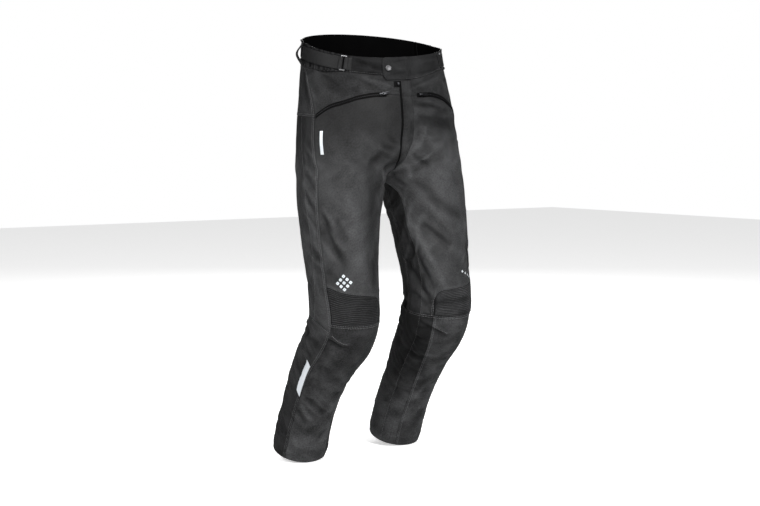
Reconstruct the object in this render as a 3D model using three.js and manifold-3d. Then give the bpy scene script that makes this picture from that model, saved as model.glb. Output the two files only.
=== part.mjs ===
// Motorcycle trousers in the form they take when worn, with nobody in them.
// Millimetres, +Z up. The front faces -Y and the wearer's left is +X.
// The origin is the middle of the waist rim, level with the side seams.

import * as THREE from 'three';
import { mergeVertices } from 'three/addons/utils/BufferGeometryUtils.js';
import Module from 'manifold-3d';

const wasm = await Module();
wasm.setup();

// Cloth and seams
const clothWall = 2;
const tapeWall = 1.4;
const seamSpace = 0.4;
const restGap = 0.3;
const ribHeight = 1.8;
const ribCount = 17;
const gatherHeight = 2;

// Adjuster at each side of the waist
const strapHalf = 15;
const strapThick = 1.4;
const strapRise = 0.7;
const strapStart = 0.37;
const ringSize = { length: 13, height: 36, bar: 2.8, thick: 2.6, lift: 0.9 };
const ringPlace = { u: 0.728, s: 0.44 };
const loopHalf = 6;
const loopBulge = 13;
const loopPlace = { u: 0.45, top: 0.03, fall: 0.92 };

// Pocket zip: slider, its bridge and the hinged pull
const slider = { length: 10, width: 8, nose: 6, height: 2.6 };
const bridge = { reach: 3.6, width: 2.4, top: 6.8, holeReach: 2, holeTop: 5.4 };
const pull = { bar: 0.8, armIn: 1.6, armOut: 3, eye: 5.6, length: 21, thick: 1.6, axis: 4, droop: 5 };
const zipHalf = 5;

// Tab of the left front band with its snap, by u past the middle front and by level
const tab = { fold: 0.99, end: 1.1, corner: 0.014, middle: 0.56, edgeRow: 0.12, lift: 2.4 };
const snapSize = { radius: 7.2, dish: 5, height: 2.6, chamfer: 0.8, sunk: 0.6 };
const snapPlace = { u: 1.076, s: 0.57 };

// Fly: levels of the flap, and the end of its zip
const flap = { top: 1.17, foot: 6.2, lift: 2.15 };
const flyZip = { from: 0.945, to: 0.971, top: 1.18, foot: 1.42 };
const flySlider = { u: 0.963, s: 1.3, half: 3, taper: 0.5, height: 2.4 };

// Reflective strip over the lower side seam: levels of its ends, u of its edges and how they drift by level
const strip = { top: 13.57, foot: 14.76, back: 0.4362, front: 0.4612, drift: 0.008, thick: 1 };

// Rounds that settle where two seam lines cross
const settleRounds = 14;

// Turns rows of numbers into objects with named columns
function table(names, rows) {
  return rows.map((row) => Object.fromEntries(names.map((name, k) => [name, row[k]])));
}

// Levels from the waist rim to the hem. Each is half an ellipse in the torso and a whole one in the leg:
// z at the side, mid the loop's middle in y, out and gap its outer and inner reach in x, wrap half the angle
// that it turns through, deep half its depth, lean the tilt of its plane, lift the rise of its outer side,
// seat the extra fullness behind, tilt the rise towards the wearer's left, and twist the same in front alone.
const levels = table(
  ['name', 'z', 'mid', 'out', 'gap', 'wrap', 'deep', 'lean', 'lift', 'seat', 'tilt', 'twist'],
  [
    ['rim', 0, -3, 184, 0, 90, 132, 16, 0, 0, 0.034, 0.06],
    ['band', -53, -8, 190, 0, 90, 135, 13, 0, 0, 0.034, 0.03],
    ['yoke', -118, -18, 203, 0, 90, 134, 9, 0, 6, 0.015, 0],
    ['hip', -178, -26, 212, 0, 92, 132, 4, 0, 12, 0, 0],
    ['seat', -233, -30, 218, 0, 100, 128, 0, 4, 16, 0, 0],
    ['fork', -280, -32, 221, 0, 122, 120, -3, 12, 14, 0, 0],
    ['low', -310, -34, 223, 0, 150, 112, -6, 18, 12, 0, 0],
    ['crotch', -326, -37, 224, 5, 180, 107, -8, 20, 10, 0, 0],
    ['top', -370, -46, 226, 20, 180, 100, -9, 12, 7, 0, 0],
    ['thigh', -448, -60, 225, 37, 180, 92, -9, 4, 3, 0, 0],
    ['mid', -528, -74, 221, 50, 180, 87, -9, 0, 0, 0, 0],
    ['above', -588, -83, 219, 54, 180, 85, -5, 0, 0, 0, 0],
    ['knee', -643, -84, 219, 53, 180, 86, 8, 0, 0, 0, 0],
    ['cup', -698, -62, 219, 56, 180, 84, 24, 0, 2, 0, 0],
    ['shin', -768, -5, 217, 70, 180, 75, 31, 0, 2, 0, 0],
    ['calf', -848, 46, 214, 79, 180, 69, 28, 0, 0, 0, 0],
    ['ankle', -926, 84, 213, 78, 180, 68, 23, 0, 0, 0, 0],
    ['hem', -1002, 111, 215, 76, 180, 68, 18, 0, 0, 0, 0],
  ],
);
const crotchLevel = 7;
const forkEnd = 8;
const kneeLevel = 12;
const bendEnd = 14;
const hemLevel = levels.length - 1;

// A smooth curve through pairs of [at, value], level beyond its ends
function through(pairs) {
  const last = pairs.length - 1;
  const slopes = pairs.map((pair, k) => {
    const before = pairs[Math.max(k - 1, 0)];
    const after = pairs[Math.min(k + 1, last)];
    return (after[1] - before[1]) / (after[0] - before[0]);
  });
  return (at) => {
    const x = Math.min(Math.max(at, pairs[0][0]), pairs[last][0]);
    let k = 0;
    while (k < last - 1 && x > pairs[k + 1][0]) {
      k += 1;
    }
    const step = pairs[k + 1][0] - pairs[k][0];
    const t = (x - pairs[k][0]) / step;
    const rise = t * t * (3 - 2 * t);
    return (
      pairs[k][1] * (1 - rise) +
      pairs[k + 1][1] * rise +
      step * slopes[k] * t * (1 - t) ** 2 +
      step * slopes[k + 1] * t * t * (t - 1)
    );
  };
}

const shape = {};
for (const column of ['z', 'mid', 'out', 'gap', 'wrap', 'deep', 'lean', 'lift', 'seat', 'tilt', 'twist']) {
  shape[column] = through(levels.map((level, s) => [s, level[column]]));
}

// A point of the cloth's outer face. s is the level. u runs round one half, from the middle of the back
// (or the inseam) at 0, by the outer side at 0.5, to the middle of the front (or the inseam) at 1.
function form(u, s, side) {
  const wrap = THREE.MathUtils.degToRad(Math.min(Math.max(shape.wrap(s), 90), 180));
  const lean = THREE.MathUtils.degToRad(shape.lean(s));
  const out = shape.out(s);
  const gap = Math.max(shape.gap(s), 0);
  const reach = (out - gap) / (1 - Math.cos(wrap));
  const turn = wrap * (1 - 2 * u);
  const depth = shape.deep(s) * Math.sin(turn);
  const x = gap - reach * Math.cos(wrap) + reach * Math.cos(turn);
  const y = shape.mid(s) + depth * Math.cos(lean) + shape.seat(s) * Math.max(Math.sin(turn), 0) ** 3;
  const sway = shape.tilt(s) + shape.twist(s) * Math.max(-Math.sin(turn), 0);
  const rise = (shape.lift(s) * (x - gap)) / (out - gap) + side * x * sway;
  const z = shape.z(s) + depth * Math.sin(lean) + rise;
  return new THREE.Vector3(side * x, y, z);
}

// The point with the directions along u, along s and out of the cloth, and the lengths of a unit of u and s
function stance(u, s, side) {
  const du = 0.002;
  const ds = 0.01;
  const alongU = form(u + du, s, side).sub(form(u - du, s, side)).divideScalar(2 * du);
  const above = Math.max(s - ds, 0);
  const below = Math.min(s + ds, hemLevel);
  const alongS = form(u, below, side).sub(form(u, above, side)).divideScalar(below - above);
  const normal = alongU.clone().cross(alongS).multiplyScalar(side).normalize();
  return { point: form(u, s, side), alongU, alongS, normal, perU: alongU.length(), perS: alongS.length() };
}

// The largest folds: ridges (depth over 0) and troughs from one place on the cloth to another
const folds = table(
  ['side', 'u0', 's0', 'u1', 's1', 'width', 'depth'],
  [
    [-1, 0.595, 9.1, 0.67, 10.1, 14, -4],
    [-1, 0.6, 10.2, 0.64, 10.6, 11, -3],
    [-1, 0.69, 8.3, 0.76, 10.7, 20, 3],
    [-1, 0.62, 12.6, 0.69, 12.7, 9, -3],
    [-1, 0.62, 14.4, 0.75, 15.3, 13, -3],
    [-1, 0.9, 5, 0.82, 5.9, 12, -3],
    [1, 0.84, 3.05, 0.66, 3.3, 13, -4],
    [1, 0.96, 3.5, 0.83, 5.7, 13, -3],
    [1, 0.93, 8.9, 0.83, 10.9, 14, 4],
    [1, 0.87, 9.1, 0.78, 9.6, 12, -4],
    [1, 0.98, 10, 0.88, 11.7, 13, -4],
    [1, 0.86, 12.45, 0.8, 12.65, 9, -3],
    [1, 0.93, 13, 0.97, 14.4, 12, -4],
    [1, 0.86, 13.6, 0.76, 15.1, 13, -3],
  ],
);
// Folds that both legs have behind the knee and under the seat, by the same columns without the side
for (const side of [-1, 1]) {
  const behind = table(
    ['u0', 's0', 'u1', 's1', 'width', 'depth'],
    [
      [0.05, 11.8, 0.4, 12.1, 12, -7],
      [0.12, 12.7, 0.45, 12.8, 12, -7],
      [0.02, 13.5, 0.35, 13.2, 13, -5],
      [0.08, 12.3, 0.42, 12.45, 12, 4],
      [0.06, 7.9, 0.34, 7.4, 15, -6],
      [0.1, 8.7, 0.3, 8.3, 14, -4],
      [0.1, 14.9, 0.4, 15.5, 13, -4],
    ],
  );
  folds.push(...behind.map((fold) => ({ side, ...fold })));
}
const foldLines = folds.map((fold) => ({
  ...fold,
  line: new THREE.Line3(form(fold.u0, fold.s0, fold.side), form(fold.u1, fold.s1, fold.side)),
}));

// How far the folds move a point of the cloth in or out
function foldAt(point, side) {
  const nearest = new THREE.Vector3();
  let move = 0;
  for (const fold of foldLines) {
    if (fold.side === side) {
      fold.line.closestPointToPoint(point, true, nearest);
      move += fold.depth * Math.exp(-((point.distanceTo(nearest) / fold.width) ** 2));
    }
  }
  return move;
}

// Seams that run down the leg: u at each level
const sideFront = through([
  [1, 0.487],
  [1.6, 0.54],
  [2.3, 0.578],
  [3.1, 0.593],
  [7, 0.58],
  [10.5, 0.581],
  [12.2, 0.6],
  [13.4, 0.585],
  [hemLevel, 0.578],
]);
const sideBack = through([
  [3, 0.487],
  [7.2, 0.508],
  [9, 0.523],
  [10.4, 0.512],
  [12, 0.495],
]);
const wedgeLine = through([
  [crotchLevel, 0.997],
  [7.5, 0.965],
  [8, 0.942],
  [9, 0.938],
  [10.2, 0.928],
  [11, 0.935],
  [kneeLevel, 0.932],
]);
const thighInner = (s) => (s < crotchLevel - 0.001 ? 1 : wedgeLine(s));
const ribInner = 0.868;
const shinInner = through([
  [kneeLevel, ribInner],
  [13, 0.862],
  [14.2, 0.842],
  [hemLevel, 0.84],
]);
const calfInner = 0.93;

// Seams that run round the body: level at each u
const yokeLevel = 2.95;
const pocketLine = through([
  [0.593, yokeLevel],
  [0.67, 2.45],
  [0.735, 2.2],
  [0.8, 1.93],
  [0.88, 1.76],
  [1, 1.77],
]);
const ribTop = through([
  [0, 11.24],
  [0.3, 10.95],
  [0.5, 10.7],
  [0.58, 10.7],
  [0.64, 10.92],
  [0.7, 11.04],
  [0.8, 11.14],
  [0.87, 11.24],
  [1, 11.24],
]);
const kneeLine = through([
  [0.3, kneeLevel],
  [0.495, kneeLevel],
  [0.6, 12.3],
]);
const elasticBack = 0.36;
const elasticFront = 0.757;
const flyBand = 0.965;
const waistSeams = {
  R: through([
    [elasticBack, 1],
    [0.6, 1],
    [elasticFront, 0.84],
    [0.905, 0.89],
    [1, 0.96],
  ]),
  L: through([
    [elasticBack, 1],
    [0.6, 1],
    [elasticFront, 0.84],
    [0.86, 0.95],
    [0.955, 1.09],
    [tab.end, 1.12],
  ]),
};

// Finishes
const finish = (hex, roughness, metalness = 0) =>
  new THREE.MeshStandardMaterial({ color: hex, roughness, metalness });
const twill = finish('#3e3f41', 0.8);
const stretch = finish('#2a2a2c', 0.9);
const shade = finish('#333436', 0.85);
const bandCloth = finish('#2b2c2e', 0.85);
const webbing = finish('#323335', 0.75);
const steel = finish('#a9abad', 0.35, 0.9);
const darkSteel = finish('#55575a', 0.45, 0.8);
const reflective = finish('#b3b7bb', 0.4);
const zipCloth = finish('#1b1b1c', 0.7);

const trousers = new THREE.Group();

function add(name, geometry, material) {
  geometry.computeVertexNormals();
  const mesh = new THREE.Mesh(geometry, material);
  mesh.name = name;
  trousers.add(mesh);
  return mesh;
}

// A closed wall from a net of outer and inner points; has says which cells of the net are there
function wallSolid(columns, rows, has, outer, inner, flip) {
  const positions = [];
  const index = [];
  const known = new Map();
  const vertex = (i, j, place) => {
    const key = `${i} ${j} ${place === inner}`;
    if (!known.has(key)) {
      known.set(key, positions.length / 3);
      positions.push(...place(i, j).toArray());
    }
    return known.get(key);
  };
  const quad = (a, b, c, d) => index.push(...(flip ? [a, c, b, a, d, c] : [a, b, c, a, c, d]));
  for (let i = 0; i < columns; i += 1) {
    for (let j = 0; j < rows; j += 1) {
      if (!has(i, j)) {
        continue;
      }
      const corners = [[i, j], [i + 1, j], [i + 1, j + 1], [i, j + 1]];
      const out = corners.map(([x, y]) => vertex(x, y, outer));
      const back = corners.map(([x, y]) => vertex(x, y, inner));
      quad(out[0], out[1], out[2], out[3]);
      quad(back[0], back[3], back[2], back[1]);
      [has(i, j - 1), has(i + 1, j), has(i, j + 1), has(i - 1, j)].forEach((met, k) => {
        const next = (k + 1) % 4;
        if (!met) {
          quad(out[next], out[k], back[k], back[next]);
        }
      });
    }
  }
  const geometry = new THREE.BufferGeometry();
  geometry.setAttribute('position', new THREE.Float32BufferAttribute(positions, 3));
  geometry.setIndex(index);
  return geometry;
}

const asCurve = (value) => (typeof value === 'function' ? value : () => value);

// Grid lines over several zones: for each line its zone and how far across the zone it lies
function gridLines(counts) {
  const lines = counts.flatMap((count, zone) => Array.from({ length: count }, (_, k) => [zone, k / count]));
  lines.push([counts.length - 1, 1]);
  return lines;
}

// A cut piece of cloth that follows the form between the seams in across (by level) and down (by u).
// missing lists the [column zone, row zone] pairs that are cut away.
function cloth({
  name, side, across, columns, down, rows, material, missing = [], thick = clothWall, lift = 0,
  relief = () => 0, locate = (u) => ({ u, side }),
}) {
  const edges = across.map(asCurve);
  const cuts = down.map(asCurve);
  const lineU = gridLines(columns);
  const lineS = gridLines(rows);
  const has = (i, j) =>
    i >= 0 && j >= 0 && i < lineU.length - 1 && j < lineS.length - 1 &&
    !missing.some(([a, b]) => a === lineU[i][0] && b === lineS[j][0]);
  const known = new Map();
  const place = (i, j) => {
    const key = `${i} ${j}`;
    if (known.has(key)) {
      return known.get(key);
    }
    const [zoneU, partU] = lineU[i];
    const [zoneS, partS] = lineS[j];
    let u = edges[zoneU](kneeLevel / 2);
    let s = 0;
    for (let round = 0; round < settleRounds; round += 1) {
      s = THREE.MathUtils.lerp(cuts[zoneS](u), cuts[zoneS + 1](u), partS);
      u = THREE.MathUtils.lerp(edges[zoneU](s), edges[zoneU + 1](s), partU);
    }
    let inU = 0;
    let inS = 0;
    for (const [a, b] of [[-1, -1], [0, -1], [-1, 0], [0, 0]]) {
      if (has(i + a, j + b)) {
        inU += 2 * a + 1;
        inS += 2 * b + 1;
      }
    }
    const near = locate(u);
    const at = stance(near.u, s, near.side);
    const uIn = u + (Math.sign(inU) * seamSpace) / 2 / at.perU;
    const sIn = s + (Math.sign(inS) * seamSpace) / 2 / at.perS;
    const spot = locate(uIn);
    const { point, normal } = stance(spot.u, sIn, spot.side);
    if (spot.middle) {
      normal.x = 0;
      normal.normalize();
    }
    const height = asCurve(lift)(u, s) + foldAt(point, spot.side);
    const result = { point, normal, height, relief: relief(i, j) };
    known.set(key, result);
    return result;
  };
  const outer = (i, j) => {
    const { point, normal, height, relief: raised } = place(i, j);
    return point.clone().addScaledVector(normal, height + raised);
  };
  const inner = (i, j) => {
    const { point, normal, height } = place(i, j);
    return point.clone().addScaledVector(normal, height - thick);
  };
  const geometry = wallSolid(lineU.length - 1, lineS.length - 1, has, outer, inner, side < 0);
  add(name, geometry, material);
}

// A strap of even width whose middle line passes through [u, s, height over the cloth]
function ribbon({ name, side, route, half, thick, alongCloth, material }) {
  const stops = route.map(([u, s, height]) => {
    const at = stance(u, s, side);
    const middle = at.point.clone().addScaledVector(at.normal, height);
    return { middle, normal: at.normal, way: alongCloth === 'u' ? at.alongU : at.alongS };
  });
  const frames = stops.map((stop, k) => {
    const before = stops[Math.max(k - 1, 0)].middle;
    const after = stops[Math.min(k + 1, stops.length - 1)].middle;
    const legs = [stop.middle.clone().sub(before), after.clone().sub(stop.middle)];
    const ahead = new THREE.Vector3();
    legs.filter((leg) => leg.length() > 0).forEach((leg) => ahead.add(leg.normalize()));
    const over = stop.normal.clone().cross(stop.way).normalize();
    const up = ahead.cross(over).normalize();
    return { middle: stop.middle, over, up };
  });
  const point = (height) => (i, j) =>
    frames[i].middle
      .clone()
      .addScaledVector(frames[i].up, height)
      .addScaledVector(frames[i].over, (j ? 1 : -1) * half);
  const inside = (i, j) => i >= 0 && i < frames.length - 1 && j === 0;
  add(name, wallSolid(frames.length - 1, 1, inside, point(thick / 2), point(-thick / 2), false), material);
}

// A local frame on the cloth: x across to the wearer's left, y up, z out of the cloth, then turned about z
function seat(mesh, { u, s, side, height, turn = 0 }) {
  const at = stance(u, s, side);
  const right = at.alongU.clone().multiplyScalar(-side);
  right.addScaledVector(at.normal, -right.dot(at.normal)).normalize();
  const up = at.normal.clone().cross(right);
  const basis = new THREE.Matrix4().makeBasis(right, up, at.normal);
  mesh.quaternion.setFromRotationMatrix(basis);
  mesh.quaternion.multiply(new THREE.Quaternion().setFromAxisAngle(new THREE.Vector3(0, 0, 1), turn));
  mesh.position.copy(at.point).addScaledVector(at.normal, height + foldAt(at.point, side));
  return mesh;
}

// Joins two closed meshes that overlap
function join(first, second) {
  const solids = [first, second].map((geometry) => {
    const plain = geometry.index ? geometry.toNonIndexed() : geometry;
    plain.deleteAttribute('normal');
    plain.deleteAttribute('uv');
    const merged = mergeVertices(plain, 1e-4);
    return new wasm.Manifold(
      new wasm.Mesh({
        numProp: 3,
        vertProperties: new Float32Array(merged.attributes.position.array),
        triVerts: new Uint32Array(merged.index.array),
      }),
    );
  });
  const mesh = solids[0].add(solids[1]).getMesh();
  const geometry = new THREE.BufferGeometry();
  geometry.setAttribute('position', new THREE.Float32BufferAttribute(mesh.vertProperties, 3));
  geometry.setIndex([...mesh.triVerts]);
  return geometry;
}

function outline(points) {
  return new THREE.Shape(points.map(([x, y]) => new THREE.Vector2(x, y)));
}

function slab(flat, depth, curveSegments = 4) {
  return new THREE.ExtrudeGeometry(flat, { depth, bevelEnabled: false, curveSegments });
}

// Zip slider: a tapered body with a bridge over it, x along the zip and z out of the cloth
function sliderGeometry() {
  const { length, width, nose, height } = slider;
  const body = slab(
    outline([
      [-length / 2, -nose / 2],
      [length / 2, -width / 2],
      [length / 2, width / 2],
      [-length / 2, nose / 2],
    ]),
    height,
  );
  const { reach, width: across, top, holeReach, holeTop } = bridge;
  const arch = outline([
    [-reach, height / 2],
    [reach, height / 2],
    [reach, top - 1],
    [reach - 1, top],
    [1 - reach, top],
    [-reach, top - 1],
  ]);
  arch.holes.push(
    outline([
      [-holeReach, height],
      [-holeReach, holeTop],
      [holeReach, holeTop],
      [holeReach, height],
    ]),
  );
  const bow = slab(arch, across).rotateX(Math.PI / 2).translate(0, across / 2, 0);
  return join(body, bow);
}

// Pull tab in its own frame: its hinge bar on the y axis, the tab along +x
function pullGeometry() {
  const { bar, armIn, armOut, eye, length, thick } = pull;
  const flat = new THREE.Shape();
  flat.moveTo(-bar, -armOut);
  flat.lineTo(length - armOut, -armOut);
  flat.absarc(length - armOut, 0, armOut, -Math.PI / 2, Math.PI / 2, false);
  flat.lineTo(-bar, armOut);
  flat.closePath();
  flat.holes.push(
    outline([
      [bar, -armIn],
      [bar, armIn],
      [eye, armIn],
      [eye, -armIn],
    ]),
  );
  return slab(flat, thick, 5).translate(0, 0, -thick / 2);
}

// Waistband: gathered elastic at the sides, plain behind and in front
function waistband(side, mark) {
  cloth({
    name: `band_side_${mark}`,
    side,
    across: [elasticBack, elasticFront],
    columns: [36],
    down: [0, 0.08, 0.82, waistSeams[mark]],
    rows: [1, 1, 2],
    relief: (i, j) => (i % 2 && j !== 1 && j !== 2 ? gatherHeight : 0),
    material: bandCloth,
  });
}

function frontBands() {
  cloth({
    name: 'band_front_R',
    side: -1,
    across: [elasticFront, ribInner, flyBand, 1],
    columns: [3, 2, 1],
    down: [0, waistSeams.R],
    rows: [2],
    material: bandCloth,
  });
  const tabLine = (s) => tab.end - tab.corner * (Math.abs(s - tab.middle) / tab.middle) ** 5;
  cloth({
    name: 'band_front_L',
    side: 1,
    across: [elasticFront, ribInner, flyBand, tab.fold, tabLine],
    columns: [3, 2, 1, 4],
    down: [0, tab.edgeRow, (u) => waistSeams.L(u) - tab.edgeRow, waistSeams.L],
    rows: [1, 2, 1],
    lift: (u) => tab.lift * THREE.MathUtils.smoothstep(u, flyBand, tab.fold),
    material: bandCloth,
  });
  cloth({
    name: 'band_back',
    side: 1,
    across: [-elasticBack, elasticBack],
    columns: [20],
    down: [0, 1],
    rows: [2],
    material: bandCloth,
  });
  const { radius, dish, height, chamfer, sunk } = snapSize;
  const profile = [
    [0, 0],
    [radius, 0],
    [radius, height - chamfer],
    [radius - chamfer, height],
    [dish, height],
    [dish - sunk, height - sunk],
    [0, height - sunk / 2],
  ];
  const cap = new THREE.LatheGeometry(profile.map(([x, y]) => new THREE.Vector2(x, y)), 24);
  seat(add('snap', cap.rotateX(Math.PI / 2), steel), { ...snapPlace, side: 1, height: tab.lift + restGap });
}

// Adjuster: webbing through a flat ring that a short anchor holds, and the belt loop beside it
function adjuster(side, mark) {
  const { length, height, bar, thick, lift } = ringSize;
  const { perU } = stance(ringPlace.u, ringPlace.s, side);
  const over = lift + thick + 0.4 + strapThick / 2;
  const low = strapRise + strapThick / 2;
  const beside = length / 2 - bar - strapThick / 2 - 0.6;
  const turnIn = [
    [12, low],
    [8.5, over],
    [beside + 1, over],
    [beside, over - 1],
    [beside, low],
  ];
  const stop = ([distance, rise]) => [ringPlace.u - distance / perU, ringPlace.s, rise];
  const runs = 13;
  const freeEnd = ringPlace.u - (length + 1) / perU;
  const free = Array.from({ length: runs + 1 }, (_, k) => [
    THREE.MathUtils.lerp(strapStart, freeEnd, k / runs),
    ringPlace.s,
    low,
  ]);
  ribbon({
    name: `adjuster_strap_${mark}`,
    side,
    route: [...free, ...turnIn.map(stop)],
    half: strapHalf,
    thick: strapThick,
    alongCloth: 'u',
    material: webbing,
  });
  const held = [...turnIn].reverse().concat([[15, low], [19, low]]);
  ribbon({
    name: `strap_anchor_${mark}`,
    side,
    route: held.map(([distance, rise]) => stop([-distance, rise])),
    half: strapHalf,
    thick: strapThick,
    alongCloth: 'u',
    material: webbing,
  });
  const rect = (w, h) => [
    [-w / 2, -h / 2],
    [w / 2, -h / 2],
    [w / 2, h / 2],
    [-w / 2, h / 2],
  ];
  const flat = outline(rect(length, height));
  flat.holes.push(outline(rect(length - 2 * bar, height - 2 * bar).reverse()));
  seat(add(`adjuster_ring_${mark}`, slab(flat, thick), steel), { ...ringPlace, side, height: lift });
  const steps = 12;
  ribbon({
    name: `belt_loop_${mark}`,
    side,
    route: Array.from({ length: steps + 1 }, (_, k) => {
      const t = k / steps;
      const swell = Math.sin(Math.PI * t ** 1.15) ** 1.3;
      const rise = gatherHeight + restGap + clothWall / 2 + loopBulge * swell;
      return [loopPlace.u, loopPlace.top + loopPlace.fall * t, rise];
    }),
    half: loopHalf,
    thick: clothWall,
    alongCloth: 's',
    material: bandCloth,
  });
}

// Yokes, seat and legs
function legPanels(side, mark) {
  const panel = (name, spec) => cloth({ name: `${name}_${mark}`, side, material: twill, ...spec });
  panel('front_yoke', {
    across: [sideFront, elasticFront, ribInner, flyBand, 1],
    columns: [7, 3, 2, 1],
    down: [waistSeams[mark], pocketLine],
    rows: [4],
  });
  panel('back_yoke', {
    across: [0, sideFront],
    columns: [12],
    down: [waistSeams[mark], yokeLevel],
    rows: [4],
  });
  panel('thigh_front', {
    across: [sideFront, elasticFront, ribInner, thighInner],
    columns: [7, 3, 3],
    down: [pocketLine, crotchLevel, forkEnd, ribTop, kneeLevel],
    rows: [8, 3, 4, 4],
    missing: [[0, 3], [1, 3]],
  });
  panel('back_thigh', {
    across: [0, sideBack],
    columns: [11],
    down: [yokeLevel, crotchLevel, forkEnd, ribTop, kneeLine],
    rows: [8, 3, 4, 4],
  });
  panel('side_panel', {
    across: [sideBack, sideFront],
    columns: [2],
    down: [yokeLevel, crotchLevel, forkEnd, ribTop, kneeLine],
    rows: [8, 3, 4, 4],
  });
  panel('inner_thigh', {
    across: [wedgeLine, 1],
    columns: [2],
    down: [crotchLevel, forkEnd, ribTop, kneeLevel],
    rows: [3, 4, 4],
  });
  panel('knee_rib', {
    across: [sideFront, elasticFront, ribInner],
    columns: [7, 3],
    down: [ribTop, kneeLevel],
    rows: [2 * ribCount],
    relief: (i, j) => (j % 2 ? ribHeight : 0),
    material: stretch,
  });
  panel('shin_front', {
    across: [sideFront, shinInner],
    columns: [6],
    down: [kneeLevel, bendEnd, hemLevel],
    rows: [7, 4],
  });
  panel('calf_inner', {
    across: [shinInner, calfInner],
    columns: [2],
    down: [kneeLevel, bendEnd, hemLevel],
    rows: [7, 4],
    material: shade,
  });
  panel('calf_back', {
    across: [calfInner - 1, sideFront],
    columns: [13],
    down: [kneeLine, bendEnd, hemLevel],
    rows: [7, 4],
    material: shade,
  });
  panel('reflective_strip', {
    across: [(s) => strip.back + strip.drift * s, (s) => strip.front + strip.drift * s],
    columns: [2],
    down: [strip.top, strip.foot],
    rows: [5],
    thick: strip.thick,
    lift: strip.thick + restGap,
    material: reflective,
  });
}

// Pocket zips: where the slider stands, where the tape ends, and how the pull lies
const pocketZips = {
  R: { stop: 0.91, sliderU: 0.888, turn: 16 },
  L: { stop: 0.955, sliderU: 0.936, turn: -3 },
};
function pocketZip(side, mark) {
  const { stop, sliderU, turn: degrees } = pocketZips[mark];
  const turn = THREE.MathUtils.degToRad(degrees);
  const middle = stance(sliderU, pocketLine(sliderU), side);
  const half = zipHalf / middle.perS;
  cloth({
    name: `pocket_zip_${mark}`,
    side,
    across: [0.6, stop],
    columns: [12],
    down: [(u) => pocketLine(u) - half, (u) => pocketLine(u) + half],
    rows: [1],
    thick: tapeWall,
    lift: tapeWall + restGap,
    material: zipCloth,
  });
  const spot = { u: sliderU, s: pocketLine(sliderU), side, height: tapeWall + 2 * restGap, turn };
  seat(add(`pocket_slider_${mark}`, sliderGeometry(), darkSteel), spot);
  const hanging = add(`pocket_pull_${mark}`, pullGeometry(), darkSteel);
  seat(hanging, { ...spot, height: spot.height + pull.axis });
  hanging.rotateY(THREE.MathUtils.degToRad(pull.droop));
}

// Fly: a flap over the middle, whose u is counted from the middle front, with the zip end beside its top
function fly() {
  const middle = (u) => ({ u: 1 - Math.abs(u), side: u < 0 ? -1 : 1, middle: Math.abs(u) < 0.002 });
  const freeEdge = through([
    [1, -0.025],
    [3, -0.028],
    [4, -0.037],
    [4.7, -0.036],
    [5.4, -0.03],
    [6.2, -0.02],
  ]);
  const sewnEdge = through([
    [1, 0.026],
    [3.4, 0.022],
    [4.45, 0.008],
    [5.3, 0.004],
    [6.2, 0.003],
  ]);
  cloth({
    name: 'fly_flap',
    side: -1,
    locate: middle,
    across: [freeEdge, 0, sewnEdge],
    columns: [4, 3],
    down: [flap.top, flap.foot],
    rows: [12],
    thick: tapeWall,
    lift: flap.lift,
    material: twill,
  });
  cloth({
    name: 'fly_zip',
    side: -1,
    across: [flyZip.from, flyZip.to],
    columns: [1],
    down: [flyZip.top, flyZip.foot],
    rows: [1],
    thick: tapeWall,
    lift: tapeWall + restGap,
    material: zipCloth,
  });
  const { u, s, half, taper, height } = flySlider;
  const head = outline([
    [taper - half, -half],
    [half - taper, -half],
    [half, half],
    [-half, half],
  ]);
  seat(add('fly_slider', slab(head, height), steel), { u, s, side: -1, height: tapeWall + 2 * restGap });
}

for (const [side, mark] of [[-1, 'R'], [1, 'L']]) {
  waistband(side, mark);
  adjuster(side, mark);
  legPanels(side, mark);
  pocketZip(side, mark);
}
frontBands();
fly();

export default trousers;
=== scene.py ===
import math

import bmesh
import bpy
import numpy as np
from mathutils import Matrix, Vector


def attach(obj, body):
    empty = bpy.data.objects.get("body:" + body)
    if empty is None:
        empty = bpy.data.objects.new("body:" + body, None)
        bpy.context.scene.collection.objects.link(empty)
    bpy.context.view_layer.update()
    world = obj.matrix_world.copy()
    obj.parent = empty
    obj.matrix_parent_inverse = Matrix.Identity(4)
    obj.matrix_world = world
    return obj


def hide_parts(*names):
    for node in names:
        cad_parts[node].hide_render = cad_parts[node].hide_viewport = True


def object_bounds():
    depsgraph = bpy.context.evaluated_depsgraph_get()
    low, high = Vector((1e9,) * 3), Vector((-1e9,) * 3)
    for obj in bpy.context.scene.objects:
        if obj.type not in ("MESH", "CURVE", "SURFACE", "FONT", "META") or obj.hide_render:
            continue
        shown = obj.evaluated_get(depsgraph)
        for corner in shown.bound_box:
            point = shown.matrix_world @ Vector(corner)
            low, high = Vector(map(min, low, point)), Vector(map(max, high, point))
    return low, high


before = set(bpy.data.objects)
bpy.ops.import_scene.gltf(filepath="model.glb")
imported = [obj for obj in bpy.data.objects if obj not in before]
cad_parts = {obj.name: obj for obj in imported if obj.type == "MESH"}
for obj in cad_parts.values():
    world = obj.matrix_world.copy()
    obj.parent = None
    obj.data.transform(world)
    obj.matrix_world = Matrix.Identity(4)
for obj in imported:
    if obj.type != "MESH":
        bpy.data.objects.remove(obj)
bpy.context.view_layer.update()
print("frame loaded with", len(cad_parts), "nodes")

mm = 0.001
cell = 3.3  # usual spacing of the cloth's grid lines, in millimetres
sides = {"R": -1, "L": 1}

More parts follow.
